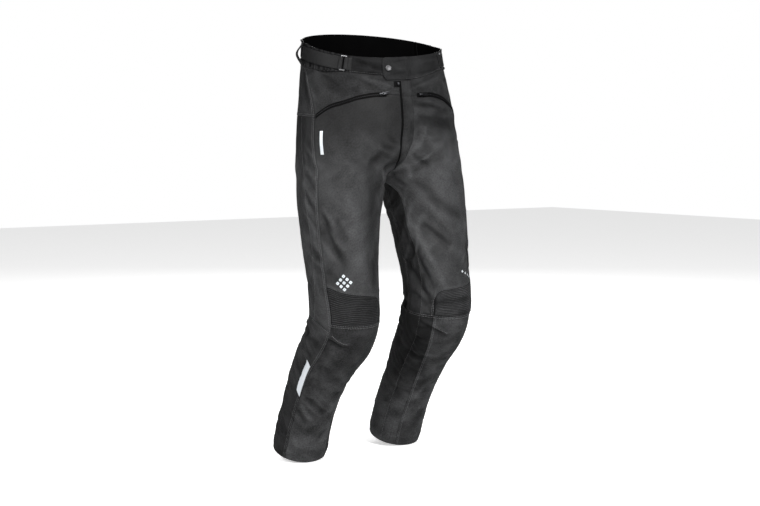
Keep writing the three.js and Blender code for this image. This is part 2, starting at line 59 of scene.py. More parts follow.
# Form of the trousers, in millimetres. s counts the levels from the waist rim at 0 to the hem at 17.
# u runs round one half, from the middle back or the inseam at 0, by the outer side at .5, to 1 in front, and past
# 0 and 1 it goes on over the middle.
levelColumns = ("z", "mid", "out", "gap", "wrap", "deep", "lean", "lift", "seat", "tilt", "twist")
levelRows = {
    "rim": (0, -3, 184, 0, 90, 132, 16, 0, 0, 0.034, 0.06),
    "band": (-53, -8, 190, 0, 90, 135, 13, 0, 0, 0.034, 0.03),
    "yoke": (-118, -18, 203, 0, 90, 134, 9, 0, 6, 0.015, 0),
    "hip": (-178, -26, 212, 0, 92, 132, 4, 0, 12, 0, 0),
    "seat": (-233, -30, 218, 0, 100, 128, 0, 4, 16, 0, 0),
    "fork": (-280, -32, 221, 0, 122, 120, -3, 12, 14, 0, 0),
    "low": (-305, -34, 223, 0, 150, 112, -6, 18, 12, 0, 0),
    "crotch": (-328, -37, 224, 5, 180, 107, -8, 20, 10, 0, 0),
    "top": (-370, -46, 226, 20, 180, 100, -9, 12, 7, 0, 0),
    "thigh": (-448, -60, 225, 37, 180, 92, -9, 4, 3, 0, 0),
    "mid": (-528, -74, 221, 50, 180, 87, -9, 0, 0, 0, 0),
    "above": (-588, -83, 219, 54, 180, 85, -5, 0, 0, 0, 0),
    "knee": (-643, -84, 219, 53, 180, 86, 8, 0, 0, 0, 0),
    "cup": (-698, -62, 219, 56, 180, 84, 24, 0, 2, 0, 0),
    "shin": (-768, -5, 217, 70, 180, 75, 31, 0, 2, 0, 0),
    "calf": (-848, 46, 214, 79, 180, 69, 28, 0, 0, 0, 0),
    "ankle": (-926, 84, 213, 78, 180, 68, 23, 0, 0, 0, 0),
    "hem": (-1002, 111, 215, 76, 180, 68, 18, 0, 0, 0, 0),
}
crotchLevel, forkEnd, kneeLevel, bendEnd, hemLevel = 7, 8, 12, 14, 17


def through(pairs):
    # a smooth curve through (at, value) pairs, level beyond its ends
    at, value = (np.array(list(column), float) for column in zip(*pairs))
    last = len(at) - 1
    before, after = np.maximum(np.arange(last + 1) - 1, 0), np.minimum(np.arange(last + 1) + 1, last)
    slope = (value[after] - value[before]) / (at[after] - at[before])

    def curve(x):
        x = np.clip(x, at[0], at[-1])
        k = np.clip(np.searchsorted(at, x, side="right") - 1, 0, last - 1)
        step = at[k + 1] - at[k]
        t = (x - at[k]) / step
        rise = t * t * (3 - 2 * t)
        ends = value[k] * (1 - rise) + value[k + 1] * rise
        return ends + step * slope[k] * t * (1 - t) ** 2 + step * slope[k + 1] * t * t * (t - 1)

    return curve


levelShape = {
    column: through([(s, row[k]) for s, row in enumerate(levelRows.values())])
    for k, column in enumerate(levelColumns)
}


def smooth(low, high, x):
    t = np.clip((x - low) / (high - low), 0, 1)
    return t * t * (3 - 2 * t)


def form(u, s, side):
    # a point of the smooth outer face
    wrap = np.radians(np.clip(levelShape["wrap"](s), 90, 180))
    lean = np.radians(levelShape["lean"](s))
    out, gap = levelShape["out"](s), np.maximum(levelShape["gap"](s), 0)
    reach = (out - gap) / (1 - np.cos(wrap))
    turn = wrap * (1 - 2 * u)
    depth = levelShape["deep"](s) * np.sin(turn)
    x = gap - reach * np.cos(wrap) + reach * np.cos(turn)
    y = levelShape["mid"](s) + depth * np.cos(lean) + levelShape["seat"](s) * np.maximum(np.sin(turn), 0) ** 3
    sway = levelShape["tilt"](s) + levelShape["twist"](s) * np.maximum(-np.sin(turn), 0)
    rise = levelShape["lift"](s) * (x - gap) / (out - gap) + side * x * sway
    z = levelShape["z"](s) + depth * np.sin(lean) + rise
    return np.stack([side * x, y, z], -1)


nudgeU, nudgeS = 0.002, 0.01  # small steps of u and s, to take slopes over


def stance(u, s, side):
    # the point, the ways along u and s, the outward normal, and the millimetres in a unit of u and of s
    u, s, side = (np.asarray(v, float) for v in np.broadcast_arrays(u, s, side))
    alongU = (form(u + nudgeU, s, side) - form(u - nudgeU, s, side)) / (2 * nudgeU)
    above, below = np.maximum(s - nudgeS, 0), np.minimum(s + nudgeS, hemLevel)
    alongS = (form(u, below, side) - form(u, above, side)) / (below - above)[..., None]
    normal = np.cross(alongU, alongS) * side[..., None]
    normal /= np.linalg.norm(normal, axis=-1, keepdims=True)
    perU, perS = np.linalg.norm(alongU, axis=-1), np.linalg.norm(alongS, axis=-1)
    return form(u, s, side), alongU, alongS, normal, perU, perS


# Seams that run down the leg give u by level, and those that run round the body give s by u
sideFront = through([
    (1, 0.487), (1.6, 0.54), (2.3, 0.578), (3.1, 0.593), (7, 0.58), (10.5, 0.581), (12.2, 0.6), (13.4, 0.585),
    (hemLevel, 0.578)])
sideBack = through([(3, 0.487), (7.2, 0.508), (9, 0.523), (10.4, 0.512), (12, 0.495)])
wedgeLine = through([
    (crotchLevel, 0.997), (7.5, 0.965), (8, 0.942), (9, 0.938), (10.2, 0.928), (11, 0.935),
    (kneeLevel, 0.932)])
ribInner = 0.868
shinInner = through([(kneeLevel, ribInner), (13, 0.862), (14.2, 0.842), (hemLevel, 0.84)])
calfInner = 0.93
yokeLevel = 2.95
pocketLine = through([(0.593, yokeLevel), (0.67, 2.45), (0.735, 2.2), (0.8, 1.93), (0.88, 1.76), (1, 1.77)])
ribTop = through([
    (0, 11.24), (0.3, 10.95), (0.5, 10.7), (0.58, 10.7), (0.64, 10.92), (0.7, 11.04), (0.8, 11.13),
    (0.832, 11.17), (0.852, 11.27), (ribInner, 11.46), (0.89, 11.46), (1, 11.24)])
kneeLine = through([(0.3, kneeLevel), (0.495, kneeLevel), (0.6, 12.3)])
elasticBack, elasticFront, flyBand, tabEnd = 0.36, 0.757, 0.965, 1.1
waistSeams = {
    "R": through([(elasticBack, 1), (0.6, 1), (elasticFront, 0.84), (0.905, 0.89), (1, 0.96)]),
    "L": through([
        (elasticBack, 1), (0.6, 1), (elasticFront, 0.84), (0.86, 0.95), (0.955, 1.09), (tabEnd, 1.12)]),
}
flyFreeEdge = through([(1, -0.025), (3, -0.028), (4, -0.037), (4.7, -0.036), (5.4, -0.03), (6.2, -0.02)])
flySewnEdge = through([(1, 0.023), (3.1, 0.0195), (3.9, 0.015), (4.5, 0.006), (5.3, 0.004), (6.2, 0.003)])


def thighInner(s):
    return np.where(s < crotchLevel - 0.001, 1.0, wedgeLine(s))


def asCurve(value):
    return value if callable(value) else lambda at: np.full(np.shape(at), float(value))


# Folds and creases lie where they were seen in the photograph, or where such trousers have them behind
# Broad folds, each from one place to another: u, s, u, s, half width and height over the cloth in millimetres
broadFolds = {
    "R": [
        (0.595, 9.1, 0.67, 10.1, 14, -4), (0.6, 10.2, 0.64, 10.6, 11, -3), (0.69, 8.3, 0.76, 10.7, 20, 3),
        (0.62, 12.6, 0.69, 12.7, 9, -3), (0.62, 14.4, 0.75, 15.3, 13, -3), (0.9, 5, 0.82, 5.9, 12, -3)],
    "L": [
        (0.84, 3.05, 0.66, 3.3, 13, -4), (0.96, 3.5, 0.83, 5.7, 13, -3), (0.93, 8.9, 0.83, 10.9, 14, 4),
        (0.87, 9.1, 0.78, 9.6, 12, -4), (0.98, 10, 0.88, 11.7, 13, -4), (0.86, 12.45, 0.8, 12.65, 9, -3),
        (0.93, 13, 0.97, 14.4, 12, -4), (0.86, 13.6, 0.76, 15.1, 13, -3)],
    "both": [
        (0.05, 11.8, 0.4, 12.1, 12, -7), (0.12, 12.7, 0.45, 12.8, 12, -7), (0.02, 13.5, 0.35, 13.2, 13, -5),
        (0.08, 12.3, 0.42, 12.45, 12, 4), (0.06, 7.9, 0.34, 7.4, 15, -6), (0.1, 8.7, 0.3, 8.3, 14, -4),
        (0.1, 14.9, 0.4, 15.5, 13, -4)],
}
# Finer creases bend through a middle place: u, s, u, s, u, s, half width and height
fineCreases = {
    "R": [
        (0.6, 8.7, 0.62, 9.3, 0.665, 10, 7, -4.6), (0.607, 9.5, 0.64, 9.95, 0.7, 10.5, 8, 3.8),
        (0.6, 10.25, 0.61, 10.5, 0.63, 10.8, 5, -3.8), (0.885, 4.5, 0.85, 5.1, 0.81, 5.8, 7, -3.2),
        (0.97, 5.4, 0.92, 5.75, 0.86, 6.4, 6, -3.8), (0.98, 6.1, 0.93, 6.5, 0.88, 7.3, 6, -3.2),
        (0.985, 5.8, 0.95, 6.1, 0.91, 6.6, 5, 2.9), (0.62, 1.1, 0.66, 1.45, 0.74, 1.75, 7, -3.4),
        (0.75, 1, 0.81, 1.25, 0.87, 1.45, 6, -2.3), (0.72, 8.6, 0.735, 9.4, 0.75, 10.4, 13, 2.7),
        (0.8, 7.4, 0.8, 8.3, 0.815, 9.3, 16, -2.5), (0.85, 9.3, 0.84, 10.1, 0.815, 10.9, 11, -2.9),
        (0.64, 12.2, 0.72, 12.27, 0.83, 12.15, 6, 2.1), (0.99, 6.5, 0.96, 6.9, 0.9, 7.6, 6, -3.8),
        (0.99, 7, 0.95, 7.5, 0.91, 8.3, 6, 2.9), (0.598, 12.41, 0.638, 12.54, 0.667, 12.62, 4, 3),
        (0.667, 12.62, 0.682, 12.62, 0.695, 12.59, 4, 2), (0.6, 12.54, 0.64, 12.66, 0.672, 12.75, 5, -3),
        (0.595, 14.66, 0.638, 14.71, 0.677, 14.88, 5, -2.8),
        (0.593, 14.9, 0.628, 15.06, 0.672, 15.36, 5, 2.3),
        (0.583, 15.12, 0.62, 15.3, 0.652, 15.54, 5, -2.3), (0.5, 15.6, 0.547, 15.8, 0.585, 15.98, 5, 2.2),
        (0.6, 16.11, 0.623, 16.25, 0.635, 16.53, 5, 1.9),
        (0.795, 15.8, 0.765, 16.01, 0.753, 16.09, 5, -3.5),
        (0.763, 16.21, 0.795, 16.22, 0.83, 16.14, 4, 2.2),
        (0.642, 13.91, 0.693, 14.15, 0.765, 14.28, 3.5, 1.2),
        (0.765, 14.28, 0.782, 14.31, 0.797, 14.27, 3.5, 1.2),
        (0.492, 12.79, 0.537, 12.51, 0.58, 12.35, 5, 1.8), (0.505, 16.18, 0.55, 16.26, 0.58, 16.26, 4, 1.8),
        (0.605, 14.62, 0.635, 14.56, 0.67, 14.63, 4.5, 1.9),
        (0.655, 14.82, 0.69, 14.93, 0.725, 15.2, 6, 1.8),
        (0.535, 15.36, 0.57, 15.53, 0.598, 15.63, 5, -1.9), (0.768, 0.24, 0.828, 0.33, 0.9, 0.61, 4, -2),
        (0.768, 0.08, 0.838, 0.14, 0.907, 0.31, 3.5, 1.8), (0.775, 0.59, 0.835, 0.58, 0.9, 0.72, 3.5, 1.8),
        (0.782, 0.79, 0.843, 0.81, 0.902, 0.93, 4, -2), (0.843, 1.03, 0.902, 1.06, 0.97, 1.36, 5, -2.4),
        (0.825, 1.18, 0.893, 1.26, 0.95, 1.47, 5, 1.9), (0.75, 1.6, 0.792, 1.54, 0.843, 1.39, 8, -2),
        (0.512, 1.39, 0.57, 1.83, 0.59, 2.39, 6, 2.2), (0.473, 1.47, 0.527, 1.87, 0.545, 2.51, 6, -2),
        (0.395, 1.09, 0.555, 0.98, 0.623, 1.09, 4, 1.8), (0.542, 1.12, 0.645, 0.92, 0.705, 0.98, 4, -1.8),
        (0.912, 3.82, 0.927, 4.05, 0.955, 4.18, 4, -2.2), (0.883, 4.21, 0.91, 4.48, 0.938, 4.46, 5, -2.6),
        (0.873, 4.63, 0.897, 4.94, 0.925, 5.13, 5, -2.4), (0.868, 4.39, 0.89, 4.7, 0.927, 4.73, 4, 1.8),
        (0.79, 8, 0.823, 7.78, 0.858, 7.55, 4, -2), (0.588, 8.58, 0.61, 8.84, 0.633, 9.07, 5, -2.2),
        (0.598, 8.44, 0.62, 8.7, 0.645, 8.97, 5, 1.8), (0.515, 6.28, 0.542, 7.13, 0.57, 7.49, 4.5, 1.8),
        (0.508, 7.58, 0.535, 7.92, 0.565, 8.32, 4.5, 2), (0.522, 4.15, 0.552, 4.72, 0.578, 5.27, 4.5, 1.8),
        (0.512, 8.16, 0.532, 8.44, 0.552, 8.71, 4.5, 2), (0.515, 8.68, 0.54, 8.92, 0.555, 9.08, 4.5, 1.9),
        (0.517, 7.07, 0.542, 7.54, 0.57, 7.89, 5, -1.9), (0.515, 7.9, 0.535, 8.22, 0.562, 8.51, 5, -1.9)],
    "L": [
        (0.97, 4.7, 0.92, 5.3, 0.85, 6.2, 6, -3.8), (0.98, 5.5, 0.93, 6.1, 0.88, 7, 6, 3.8),
        (0.99, 6.2, 0.95, 6.7, 0.91, 7.5, 5, -3.6), (0.83, 8.2, 0.75, 8.65, 0.68, 8.8, 9, -3.4),
        (0.87, 8.95, 0.81, 9.4, 0.77, 9.6, 6, -4.2), (0.93, 8.6, 0.88, 9.8, 0.82, 11, 8, 3.4),
        (0.935, 9.6, 0.9, 10.3, 0.87, 11, 7, -3.8), (0.99, 9.9, 0.94, 10.7, 0.88, 11.7, 8, -3.8),
        (0.965, 8.6, 0.95, 9.4, 0.94, 10.2, 6, -3.2), (0.97, 11.2, 0.91, 11.6, 0.87, 12.1, 6, -3.8),
        (0.64, 4.4, 0.6, 5.6, 0.6, 7, 10, -3.2), (0.66, 9.6, 0.62, 10.1, 0.6, 10.6, 7, -3.6),
        (0.64, 12.2, 0.72, 12.27, 0.83, 12.15, 6, 2.1), (0.52, 9, 0.55, 10, 0.57, 11, 7, -3.8),
        (0.922, 12.21, 0.858, 12.34, 0.805, 12.54, 4, 3), (0.92, 12.32, 0.858, 12.44, 0.797, 12.62, 5, -3),
        (0.805, 12.54, 0.785, 12.55, 0.768, 12.44, 4, 2),
        (0.022, 12.99, 0.975, 12.92, 0.943, 12.98, 4, 1.9),
        (0.022, 13.19, 0.978, 13.33, 0.925, 13.47, 4, 1.9), (0.052, 13.8, 0.983, 13.68, 0.935, 13.68, 4, 2),
        (0.03, 14.18, 0.975, 14.04, 0.938, 13.85, 4, 1.8), (0.025, 14.58, 0.975, 14.62, 0.932, 14.68, 4, 2),
        (0.045, 15.37, 0.995, 15.46, 0.973, 15.65, 4.5, 2.3),
        (0.092, 15.98, 0.013, 16.04, 0.96, 16.16, 4.5, 2.3),
        (0.03, 16.56, 0.958, 16.59, 0.905, 16.72, 4, 1.8),
        (0.885, 14.44, 0.84, 14.59, 0.777, 14.83, 4.5, 2.3),
        (0.86, 14.38, 0.828, 14.22, 0.77, 14.38, 5, 2.3), (0.78, 14.8, 0.785, 14.54, 0.723, 14.38, 5, 2.6),
        (0.922, 15.44, 0.86, 15.21, 0.78, 14.88, 9, 2.7), (0.935, 12.54, 0.902, 12.51, 0.88, 12.42, 5, -2),
        (0.94, 12.91, 0.902, 12.96, 0.878, 12.86, 5, -2), (0.93, 13.53, 0.885, 13.66, 0.86, 13.6, 5, -1.9),
        (0.888, 14.07, 0.855, 14.17, 0.833, 14.08, 5, -1.9),
        (0.758, 16.22, 0.725, 15.99, 0.688, 15.63, 13, -3),
        (0.02, 11.28, 0.95, 11.42, 0.91, 11.73, 7, -3.8), (0, 11.86, 0.958, 11.9, 0.922, 12.18, 6, -3),
        (0.045, 12.62, 0.978, 12.42, 0.927, 12.42, 4, 2), (0.945, 10.89, 0.93, 11.15, 0.89, 11.26, 6, -2.7),
        (0.035, 13.43, 0.983, 13.51, 0.943, 13.56, 5, -2), (0.025, 14.78, 0.97, 14.86, 0.938, 14.93, 5, -2),
        (0.86, 14.54, 0.82, 14.69, 0.782, 14.9, 5, -1.9), (0.988, 1.56, 0.922, 1.33, 0.802, 1.15, 5, 2),
        (0.975, 1.4, 0.895, 1.19, 0.807, 1.03, 5, -1.8), (0.975, 1.97, 0.912, 1.94, 0.8, 2.29, 5, 2.6),
        (0.975, 2.15, 0.905, 2.11, 0.768, 2.51, 6, -3.1), (0.985, 2.42, 0.917, 2.31, 0.85, 2.44, 5, 2.3),
        (0.955, 2.72, 0.883, 2.88, 0.768, 3.09, 7, -3.5), (0.98, 2.66, 0.943, 2.56, 0.897, 2.63, 5, 1.8),
        (0.927, 0.31, 0.845, 0.31, 0.753, 0.31, 3.5, 1.5), (0.935, 0.86, 0.858, 0.81, 0.76, 0.75, 4, -1.8),
        (0.25, 4.21, 0.993, 3.92, 0.948, 3.74, 5, 1.9), (0.268, 4.04, 0.958, 3.92, 0.9, 3.9, 5, -2.3),
        (0.883, 7.38, 0.843, 7.79, 0.795, 8.43, 10, -2), (0.873, 8.51, 0.82, 8.84, 0.79, 9.08, 10, -2),
        (0.993, 3.09, 0.917, 3.03, 0.745, 3.1, 8, -2.4), (1.062, 0.52, 1.015, 0.62, 1, 0.61, 3.5, 1.6),
        (1.065, 0.82, 1.018, 0.88, 1, 0.79, 4, -1.8), (1.065, 0.26, 1.02, 0.24, 1, 0.18, 3.5, -1.4)],
    "both": [
        (0.03, 11.5, 0.2, 11.55, 0.36, 11.8, 6, -5), (0.06, 12.1, 0.22, 12.2, 0.4, 12.25, 5, 4.6),
        (0.1, 12.55, 0.28, 12.45, 0.46, 12.6, 6, -5.5), (0.02, 12.95, 0.2, 13, 0.4, 12.95, 5, 4.2),
        (0.05, 13.2, 0.2, 13.35, 0.42, 13.1, 6, -4.6), (0.12, 13.75, 0.28, 13.7, 0.44, 13.5, 7, -3.8),
        (0.44, 12.75, 0.5, 12.9, 0.56, 12.85, 6, -3.8), (0.43, 13.2, 0.48, 13.35, 0.54, 13.4, 6, -2.9),
        (0.03, 7.2, 0.14, 7.55, 0.28, 7.3, 8, -5.5), (0.05, 8.3, 0.16, 8.45, 0.33, 8, 8, -4.6),
        (0.02, 6.7, 0.1, 7, 0.18, 6.9, 7, 4.2), (0.1, 9.2, 0.2, 9.3, 0.32, 9, 9, -3.4),
        (0.03, 3.6, 0.1, 4.3, 0.2, 4.9, 10, -3.4), (0.03, 1.4, 0.12, 1.9, 0.22, 2.2, 9, -3.4),
        (0.3, 1.2, 0.36, 1.8, 0.4, 2.5, 9, -3.2), (0.42, 3.3, 0.44, 4.4, 0.47, 5.6, 10, -3.2),
        (0.36, 5, 0.4, 6.2, 0.45, 7.4, 11, 3.4), (0.25, 10, 0.35, 10.4, 0.46, 10.5, 9, -3.4),
        (0.08, 14.5, 0.24, 14.8, 0.42, 14.9, 8, -4.2), (0.14, 15.6, 0.28, 15.8, 0.44, 15.7, 8, -3.4),
        (0.2, 16.2, 0.34, 16.3, 0.48, 16.1, 7, -2.1), (0.47, 1.15, 0.5, 1.5, 0.52, 2, 6, -3.8),
        (0.42, 1.1, 0.44, 1.4, 0.45, 1.8, 6, -3.4), (0.6, 12.75, 0.62, 14.35, 0.72, 14.52, 4, -1.9),
        (0.72, 14.52, 0.82, 14.5, 0.835, 13.6, 4, -1.9)],
}
# Crumpled places: u, s, reach round and down, turn of the creases from level, their spacing and height
crumples = {
    "R": [
        (0.93, 5.6, 55, 60, 52, 17, 1.6), (0.63, 9.3, 40, 80, 62, 20, 1.5),
        (0.53, 9.6, 34, 110, 60, 19, 1.6), (0.53, 5.0, 30, 120, 80, 21, 1.0),
        (0.74, 14.6, 70, 90, 38, 24, 1.3), (0.66, 16.1, 70, 40, 20, 22, 1.3),
        (0.64, 12.9, 26, 60, 70, 16, 1.2), (0.53, 13.6, 40, 90, 25, 16, 1.6),
        (0.85, 1.4, 40, 22, 10, 13, 1.3), (0.7, 1.35, 45, 20, 35, 15, 1.2), (0.88, 0.5, 34, 22, 8, 13, 1.2),
        (0.86, 10.3, 40, 70, 75, 20, 1.1)],
    "L": [
        (0.93, 4.6, 50, 80, 40, 17, 1.0), (0.9, 2.6, 50, 30, 12, 15, 0.8), (0.7, 3.0, 60, 30, 12, 19, 0.9),
        (0.93, 9.6, 50, 110, 62, 17, 1.9), (0.96, 13.7, 60, 120, -35, 15, 0.8),
        (0.84, 14.9, 70, 60, -20, 17, 0.8), (0.76, 14.9, 60, 60, 15, 20, 0.8),
        (0.83, 16.1, 60, 36, 30, 20, 1.0), (0.64, 9.3, 40, 90, 62, 20, 1.4),
        (0.83, 12.7, 36, 36, 20, 15, 0.7), (0.9, 1.5, 40, 16, 8, 13, 0.9), (0.7, 1.4, 45, 20, 25, 15, 1.2),
        (0.62, 15.6, 50, 70, 40, 22, 1.3), (0.53, 9.6, 34, 110, 60, 19, 1.6)],
    "both": [
        (0.2, 12.2, 110, 60, 4, 16, 2.4), (0.2, 13.4, 100, 50, 8, 17, 2.0),
        (0.12, 7.6, 80, 60, 15, 19, 2.0), (0.2, 9.4, 110, 70, 20, 26, 1.4),
        (0.25, 14.8, 110, 80, 10, 21, 1.6), (0.3, 16.2, 120, 40, 6, 21, 1.2),
        (0.1, 4.4, 60, 90, 80, 26, 1.2), (0.3, 5.6, 90, 80, 70, 30, 1.1), (0.2, 1.5, 110, 26, 75, 17, 1.2),
        (0.45, 1.35, 60, 22, 78, 14, 1.3), (0.5, 12.6, 50, 70, 15, 16, 1.7),
        (0.99, 8.2, 40, 60, 30, 16, 1.6)],
}
# Wide shallow hollows where the cloth lies closer than the plain form: u, s, u, s, half width and height
eased = {"R": [(0.42, 6.3, 0.6, 6.3, 45, -6)], "L": []}
# Places that stay calm because something firm lies there: u, s, u, s and how far it reaches
calmPlaces = {
    "R": [
        (0.6, 2.9, 0.67, 2.45, 9), (0.67, 2.45, 0.8, 1.93, 9), (0.8, 1.93, 0.92, 1.76, 9),
        (0.3, 0.44, 0.745, 0.44, 17), (0.62, 3.5, 0.655, 4.9, 9), (0.57, 13.5, 0.58, 14.8, 9),
        (0.64, 10.3, 0.69, 10.9, 22), (0.97, 1.3, 1, 1.3, 14)],
    "L": [
        (0.6, 2.9, 0.67, 2.45, 9), (0.67, 2.45, 0.8, 1.93, 9), (0.8, 1.93, 0.96, 1.76, 9),
        (0.3, 0.44, 0.745, 0.44, 17), (0.57, 13.5, 0.58, 14.8, 9), (0.62, 10.6, 0.71, 10.6, 9),
        (1.06, 0.5, 1.1, 0.5, 9)],
}


def distanceTo(points, line):
    # distance to a line through several points, and how far along it from 0 to 1
    nearest, along = np.full(points.shape[:-1], 1e9), np.zeros(points.shape[:-1])
    for k in range(len(line) - 1):
        way = line[k + 1] - line[k]
        part = np.clip(((points - line[k]) @ way) / (way @ way), 0, 1)
        distance = np.linalg.norm(points - line[k] - part[..., None] * way, axis=-1)
        closer = distance < nearest
        nearest = np.where(closer, distance, nearest)
        along = np.where(closer, (k + part) / (len(line) - 1), along)
    return nearest, along


def straightLine(row, side):
    return np.array([form(*row[0:2], side), form(*row[2:4], side)])


def bentLine(row, side, steps=6):
    # a line that leaves the first place and reaches the last, drawn towards the middle one
    t = np.linspace(0, 1, steps + 1)
    weights = ((1 - t) ** 2, 2 * t * (1 - t), t * t)
    u = sum(w * row[2 * k] for k, w in enumerate(weights))
    s = sum(w * row[2 * k + 1] for k, w in enumerate(weights))
    return form(u, s, side)


def within(points, line, reach):
    # which points lie in the box round a line
    low, high = line.min(0) - reach, line.max(0) + reach
    return np.all((points > low) & (points < high), axis=-1)


crumpleScale = 1.5  # crumples stand this many times their listed height
sharedScale = 0.6  # and what both legs share keeps this part of its own
ripple = {"broad": 0.5, "fine": 0.22}  # heights of two waves that keep the cloth from lying dead flat
broadPaintedLight = 0.4  # how far broad folds count as creases in the painted light and shade
fadedOut = 3  # half widths away from its line at which a fold is gone


def cloud(x, y, seed):
    # smooth noise from 0 to 1, about one swell to a unit
    fx, fy = np.floor(x), np.floor(y)
    tx, ty = x - fx, y - fy
    tx, ty = tx * tx * (3 - 2 * tx), ty * ty * (3 - 2 * ty)

    def corner(a, b):
        return np.modf(np.abs(np.sin((fx + a) * 12.9898 + (fy + b) * 78.233 + seed * 37.719) * 43758.5453))[0]

    top = corner(0, 0) * (1 - tx) + corner(1, 0) * tx
    low = corner(0, 1) * (1 - tx) + corner(1, 1) * tx
    return top * (1 - ty) + low * ty


def crumpleHeight(points, mark):
    # long narrow ridges that wander and fade at the edge of their place
    side, height = sides[mark], np.zeros(points.shape[:-1])
    for k, (u, s, reachU, reachS, turn, spacing, tall) in enumerate(crumples[mark] + crumples["both"]):
        tall *= crumpleScale * (1 if k < len(crumples[mark]) else sharedScale)
        middle, alongU, alongS, *_ = stance(u, s, side)
        e1, e2 = alongU / np.linalg.norm(alongU), alongS / np.linalg.norm(alongS)
        near = within(points, middle[None], 2.2 * max(reachU, reachS))
        offset = points[near] - middle
        a, b = offset @ e1, offset @ e2
        far = np.maximum(np.sum(offset**2, -1) - a * a - b * b, 0)
        window = np.exp(-((a / reachU) ** 2) - (b / reachS) ** 2 - far / 60**2)
        angle = math.radians(turn)
        ahead = (a * math.cos(angle) + b * math.sin(angle)) / spacing
        across = (b * math.cos(angle) - a * math.sin(angle)) / spacing
        across = across + 0.9 * cloud(ahead * 0.35, across * 0.5, k + 1)
        swell = 2 * np.abs(2 * cloud(ahead * 0.28, across, k + 11) - 1) ** 0.8 - 1
        fine = 2 * cloud(ahead * 0.6, across * 2.1, k + 31) - 1
        height[near] -= tall * window * (swell + 0.35 * fine)
    return height


def addFolds(height, points, rows, side):
    for row in rows:
        line = straightLine(row, side)
        near = within(points, line, fadedOut * row[4])
        height[near] += row[5] * np.exp(-((distanceTo(points[near], line)[0] / row[4]) ** 2))


def foldHeight(points, mark):
    # how far the cloth stands off the plain form, and how much of that is creases, which set the painted light
    # and shade
    # broad folds are the same as in the solids; fine ones fade near what lies firmly on the cloth
    side = sides[mark]
    broad, fine = np.zeros(points.shape[:-1]), np.zeros(points.shape[:-1])
    addFolds(broad, points, broadFolds[mark] + broadFolds["both"], side)
    for k, row in enumerate(fineCreases[mark] + fineCreases["both"]):
        scale = 1 if k < len(fineCreases[mark]) else sharedScale
        line = bentLine(row, side)
        near = within(points, line, fadedOut * row[6])
        distance, along = distanceTo(points[near], line)
        strength = 0.45 + 0.55 * np.sin(math.pi * along)
        fine[near] += scale * row[7] * strength * np.exp(-((distance / row[6]) ** 1.7))
    fine += crumpleHeight(points, mark)
    x, y, z = points[..., 0], points[..., 1], points[..., 2]
    fine += ripple["broad"] * np.sin(x / 19 + z / 41 + 1.3 * np.sin(y / 37)) * np.sin(z / 27 - y / 33)
    fine += ripple["fine"] * np.sin(x / 8.3 - z / 11.7 + 2 * np.sin(z / 29)) * np.sin(y / 9.1 + z / 15.3)
    calm = np.ones(points.shape[:-1])
    for row in calmPlaces[mark]:
        line = straightLine(row, side)
        near = within(points, line, fadedOut * row[4])
        calm[near] *= smooth(row[4] * 0.7, row[4] * 2, distanceTo(points[near], line)[0])
    creases = calm * fine + broadPaintedLight * broad
    addFolds(broad, points, eased[mark], side)
    return broad + calm * fine, creases


stitchAway = (1.8, 6)  # millimetres from a seam to its first and second row of stitches


def seamList(mark):
    # runs: down the leg or round the body; raised: the side of the pressed allowance; rows: of stitches
    seams = [
        ("sideFront", "down", sideFront, 1, hemLevel, -1, 2),
        ("sideBack", "down", sideBack, yokeLevel, 12.02, 1, 1),
        ("wedge", "down", wedgeLine, crotchLevel, kneeLevel, -1, 1),
        ("shinInner", "down", shinInner, kneeLevel, hemLevel, -1, 2),
        ("calfInner", "down", asCurve(calfInner), kneeLevel, hemLevel, 1, 1),
        ("ribInner", "down", asCurve(ribInner), 11.46, kneeLevel, 1, 2),
        ("middleBack", "down", asCurve(0), 1, crotchLevel, 1, 2 if mark == "L" else 0),
        ("inseamBack", "down", asCurve(0), crotchLevel, kneeLevel, 1, 1),
        ("inseamFront", "down", asCurve(1), crotchLevel, kneeLevel, 0, 0),
        ("middleFront", "down", asCurve(1), 6.2, crotchLevel, 0, 0),
        ("waistFront", "round", waistSeams[mark], elasticBack, 1, -1, 1),
        ("waistBack", "round", asCurve(1), -elasticBack, elasticBack, -1, 1),
        ("bandBackEnd", "down", asCurve(elasticBack), 0, 1, -1, 1),
        ("bandFrontEnd", "down", asCurve(elasticFront), 0, 0.84, 1, 1),
        ("pocket", "round", pocketLine, 0.593, 1, 0, 0),
        ("yoke", "round", asCurve(yokeLevel), 0, 0.593, -1, 2),
        ("ribTop", "round", ribTop, 0.581, ribInner, -1, 1),
        ("kneeFront", "round", asCurve(kneeLevel), 0.599, 1, 1, 2),
        ("kneeBack", "round", kneeLine, 0, 0.599, 1, 1),
    ]
    dart = {"R": [(0.608, 12.40), (0.64, 12.53), (0.67, 12.61), (0.69, 12.61)],
            "L": [(0.79, 12.57), (0.82, 12.51), (0.85, 12.43), (0.872, 12.36)]}[mark]
    seams.append(("dart", "round", through(dart), dart[0][0], dart[-1][0], -1, 1))
    columns = ("name", "runs", "line", "start", "end", "raised", "rows")
    table = [dict(zip(columns, row)) for row in seams]
    for seam in table:
        seam["rows"] = [seam["raised"] * away for away in stitchAway[:seam["rows"]]]
    return table


seamsOf = {mark: seamList(mark) for mark in sides}
# Heights and half widths of the groove, the pressed allowance and the stitches' dimples, in millimetres
seamLook = {"groove": 0.8, "grooveHalf": 1.2, "raise": 0.55, "allowance": 7.0, "dimple": 0.2,
            "dimpleHalf": 0.7, "reach": 14}


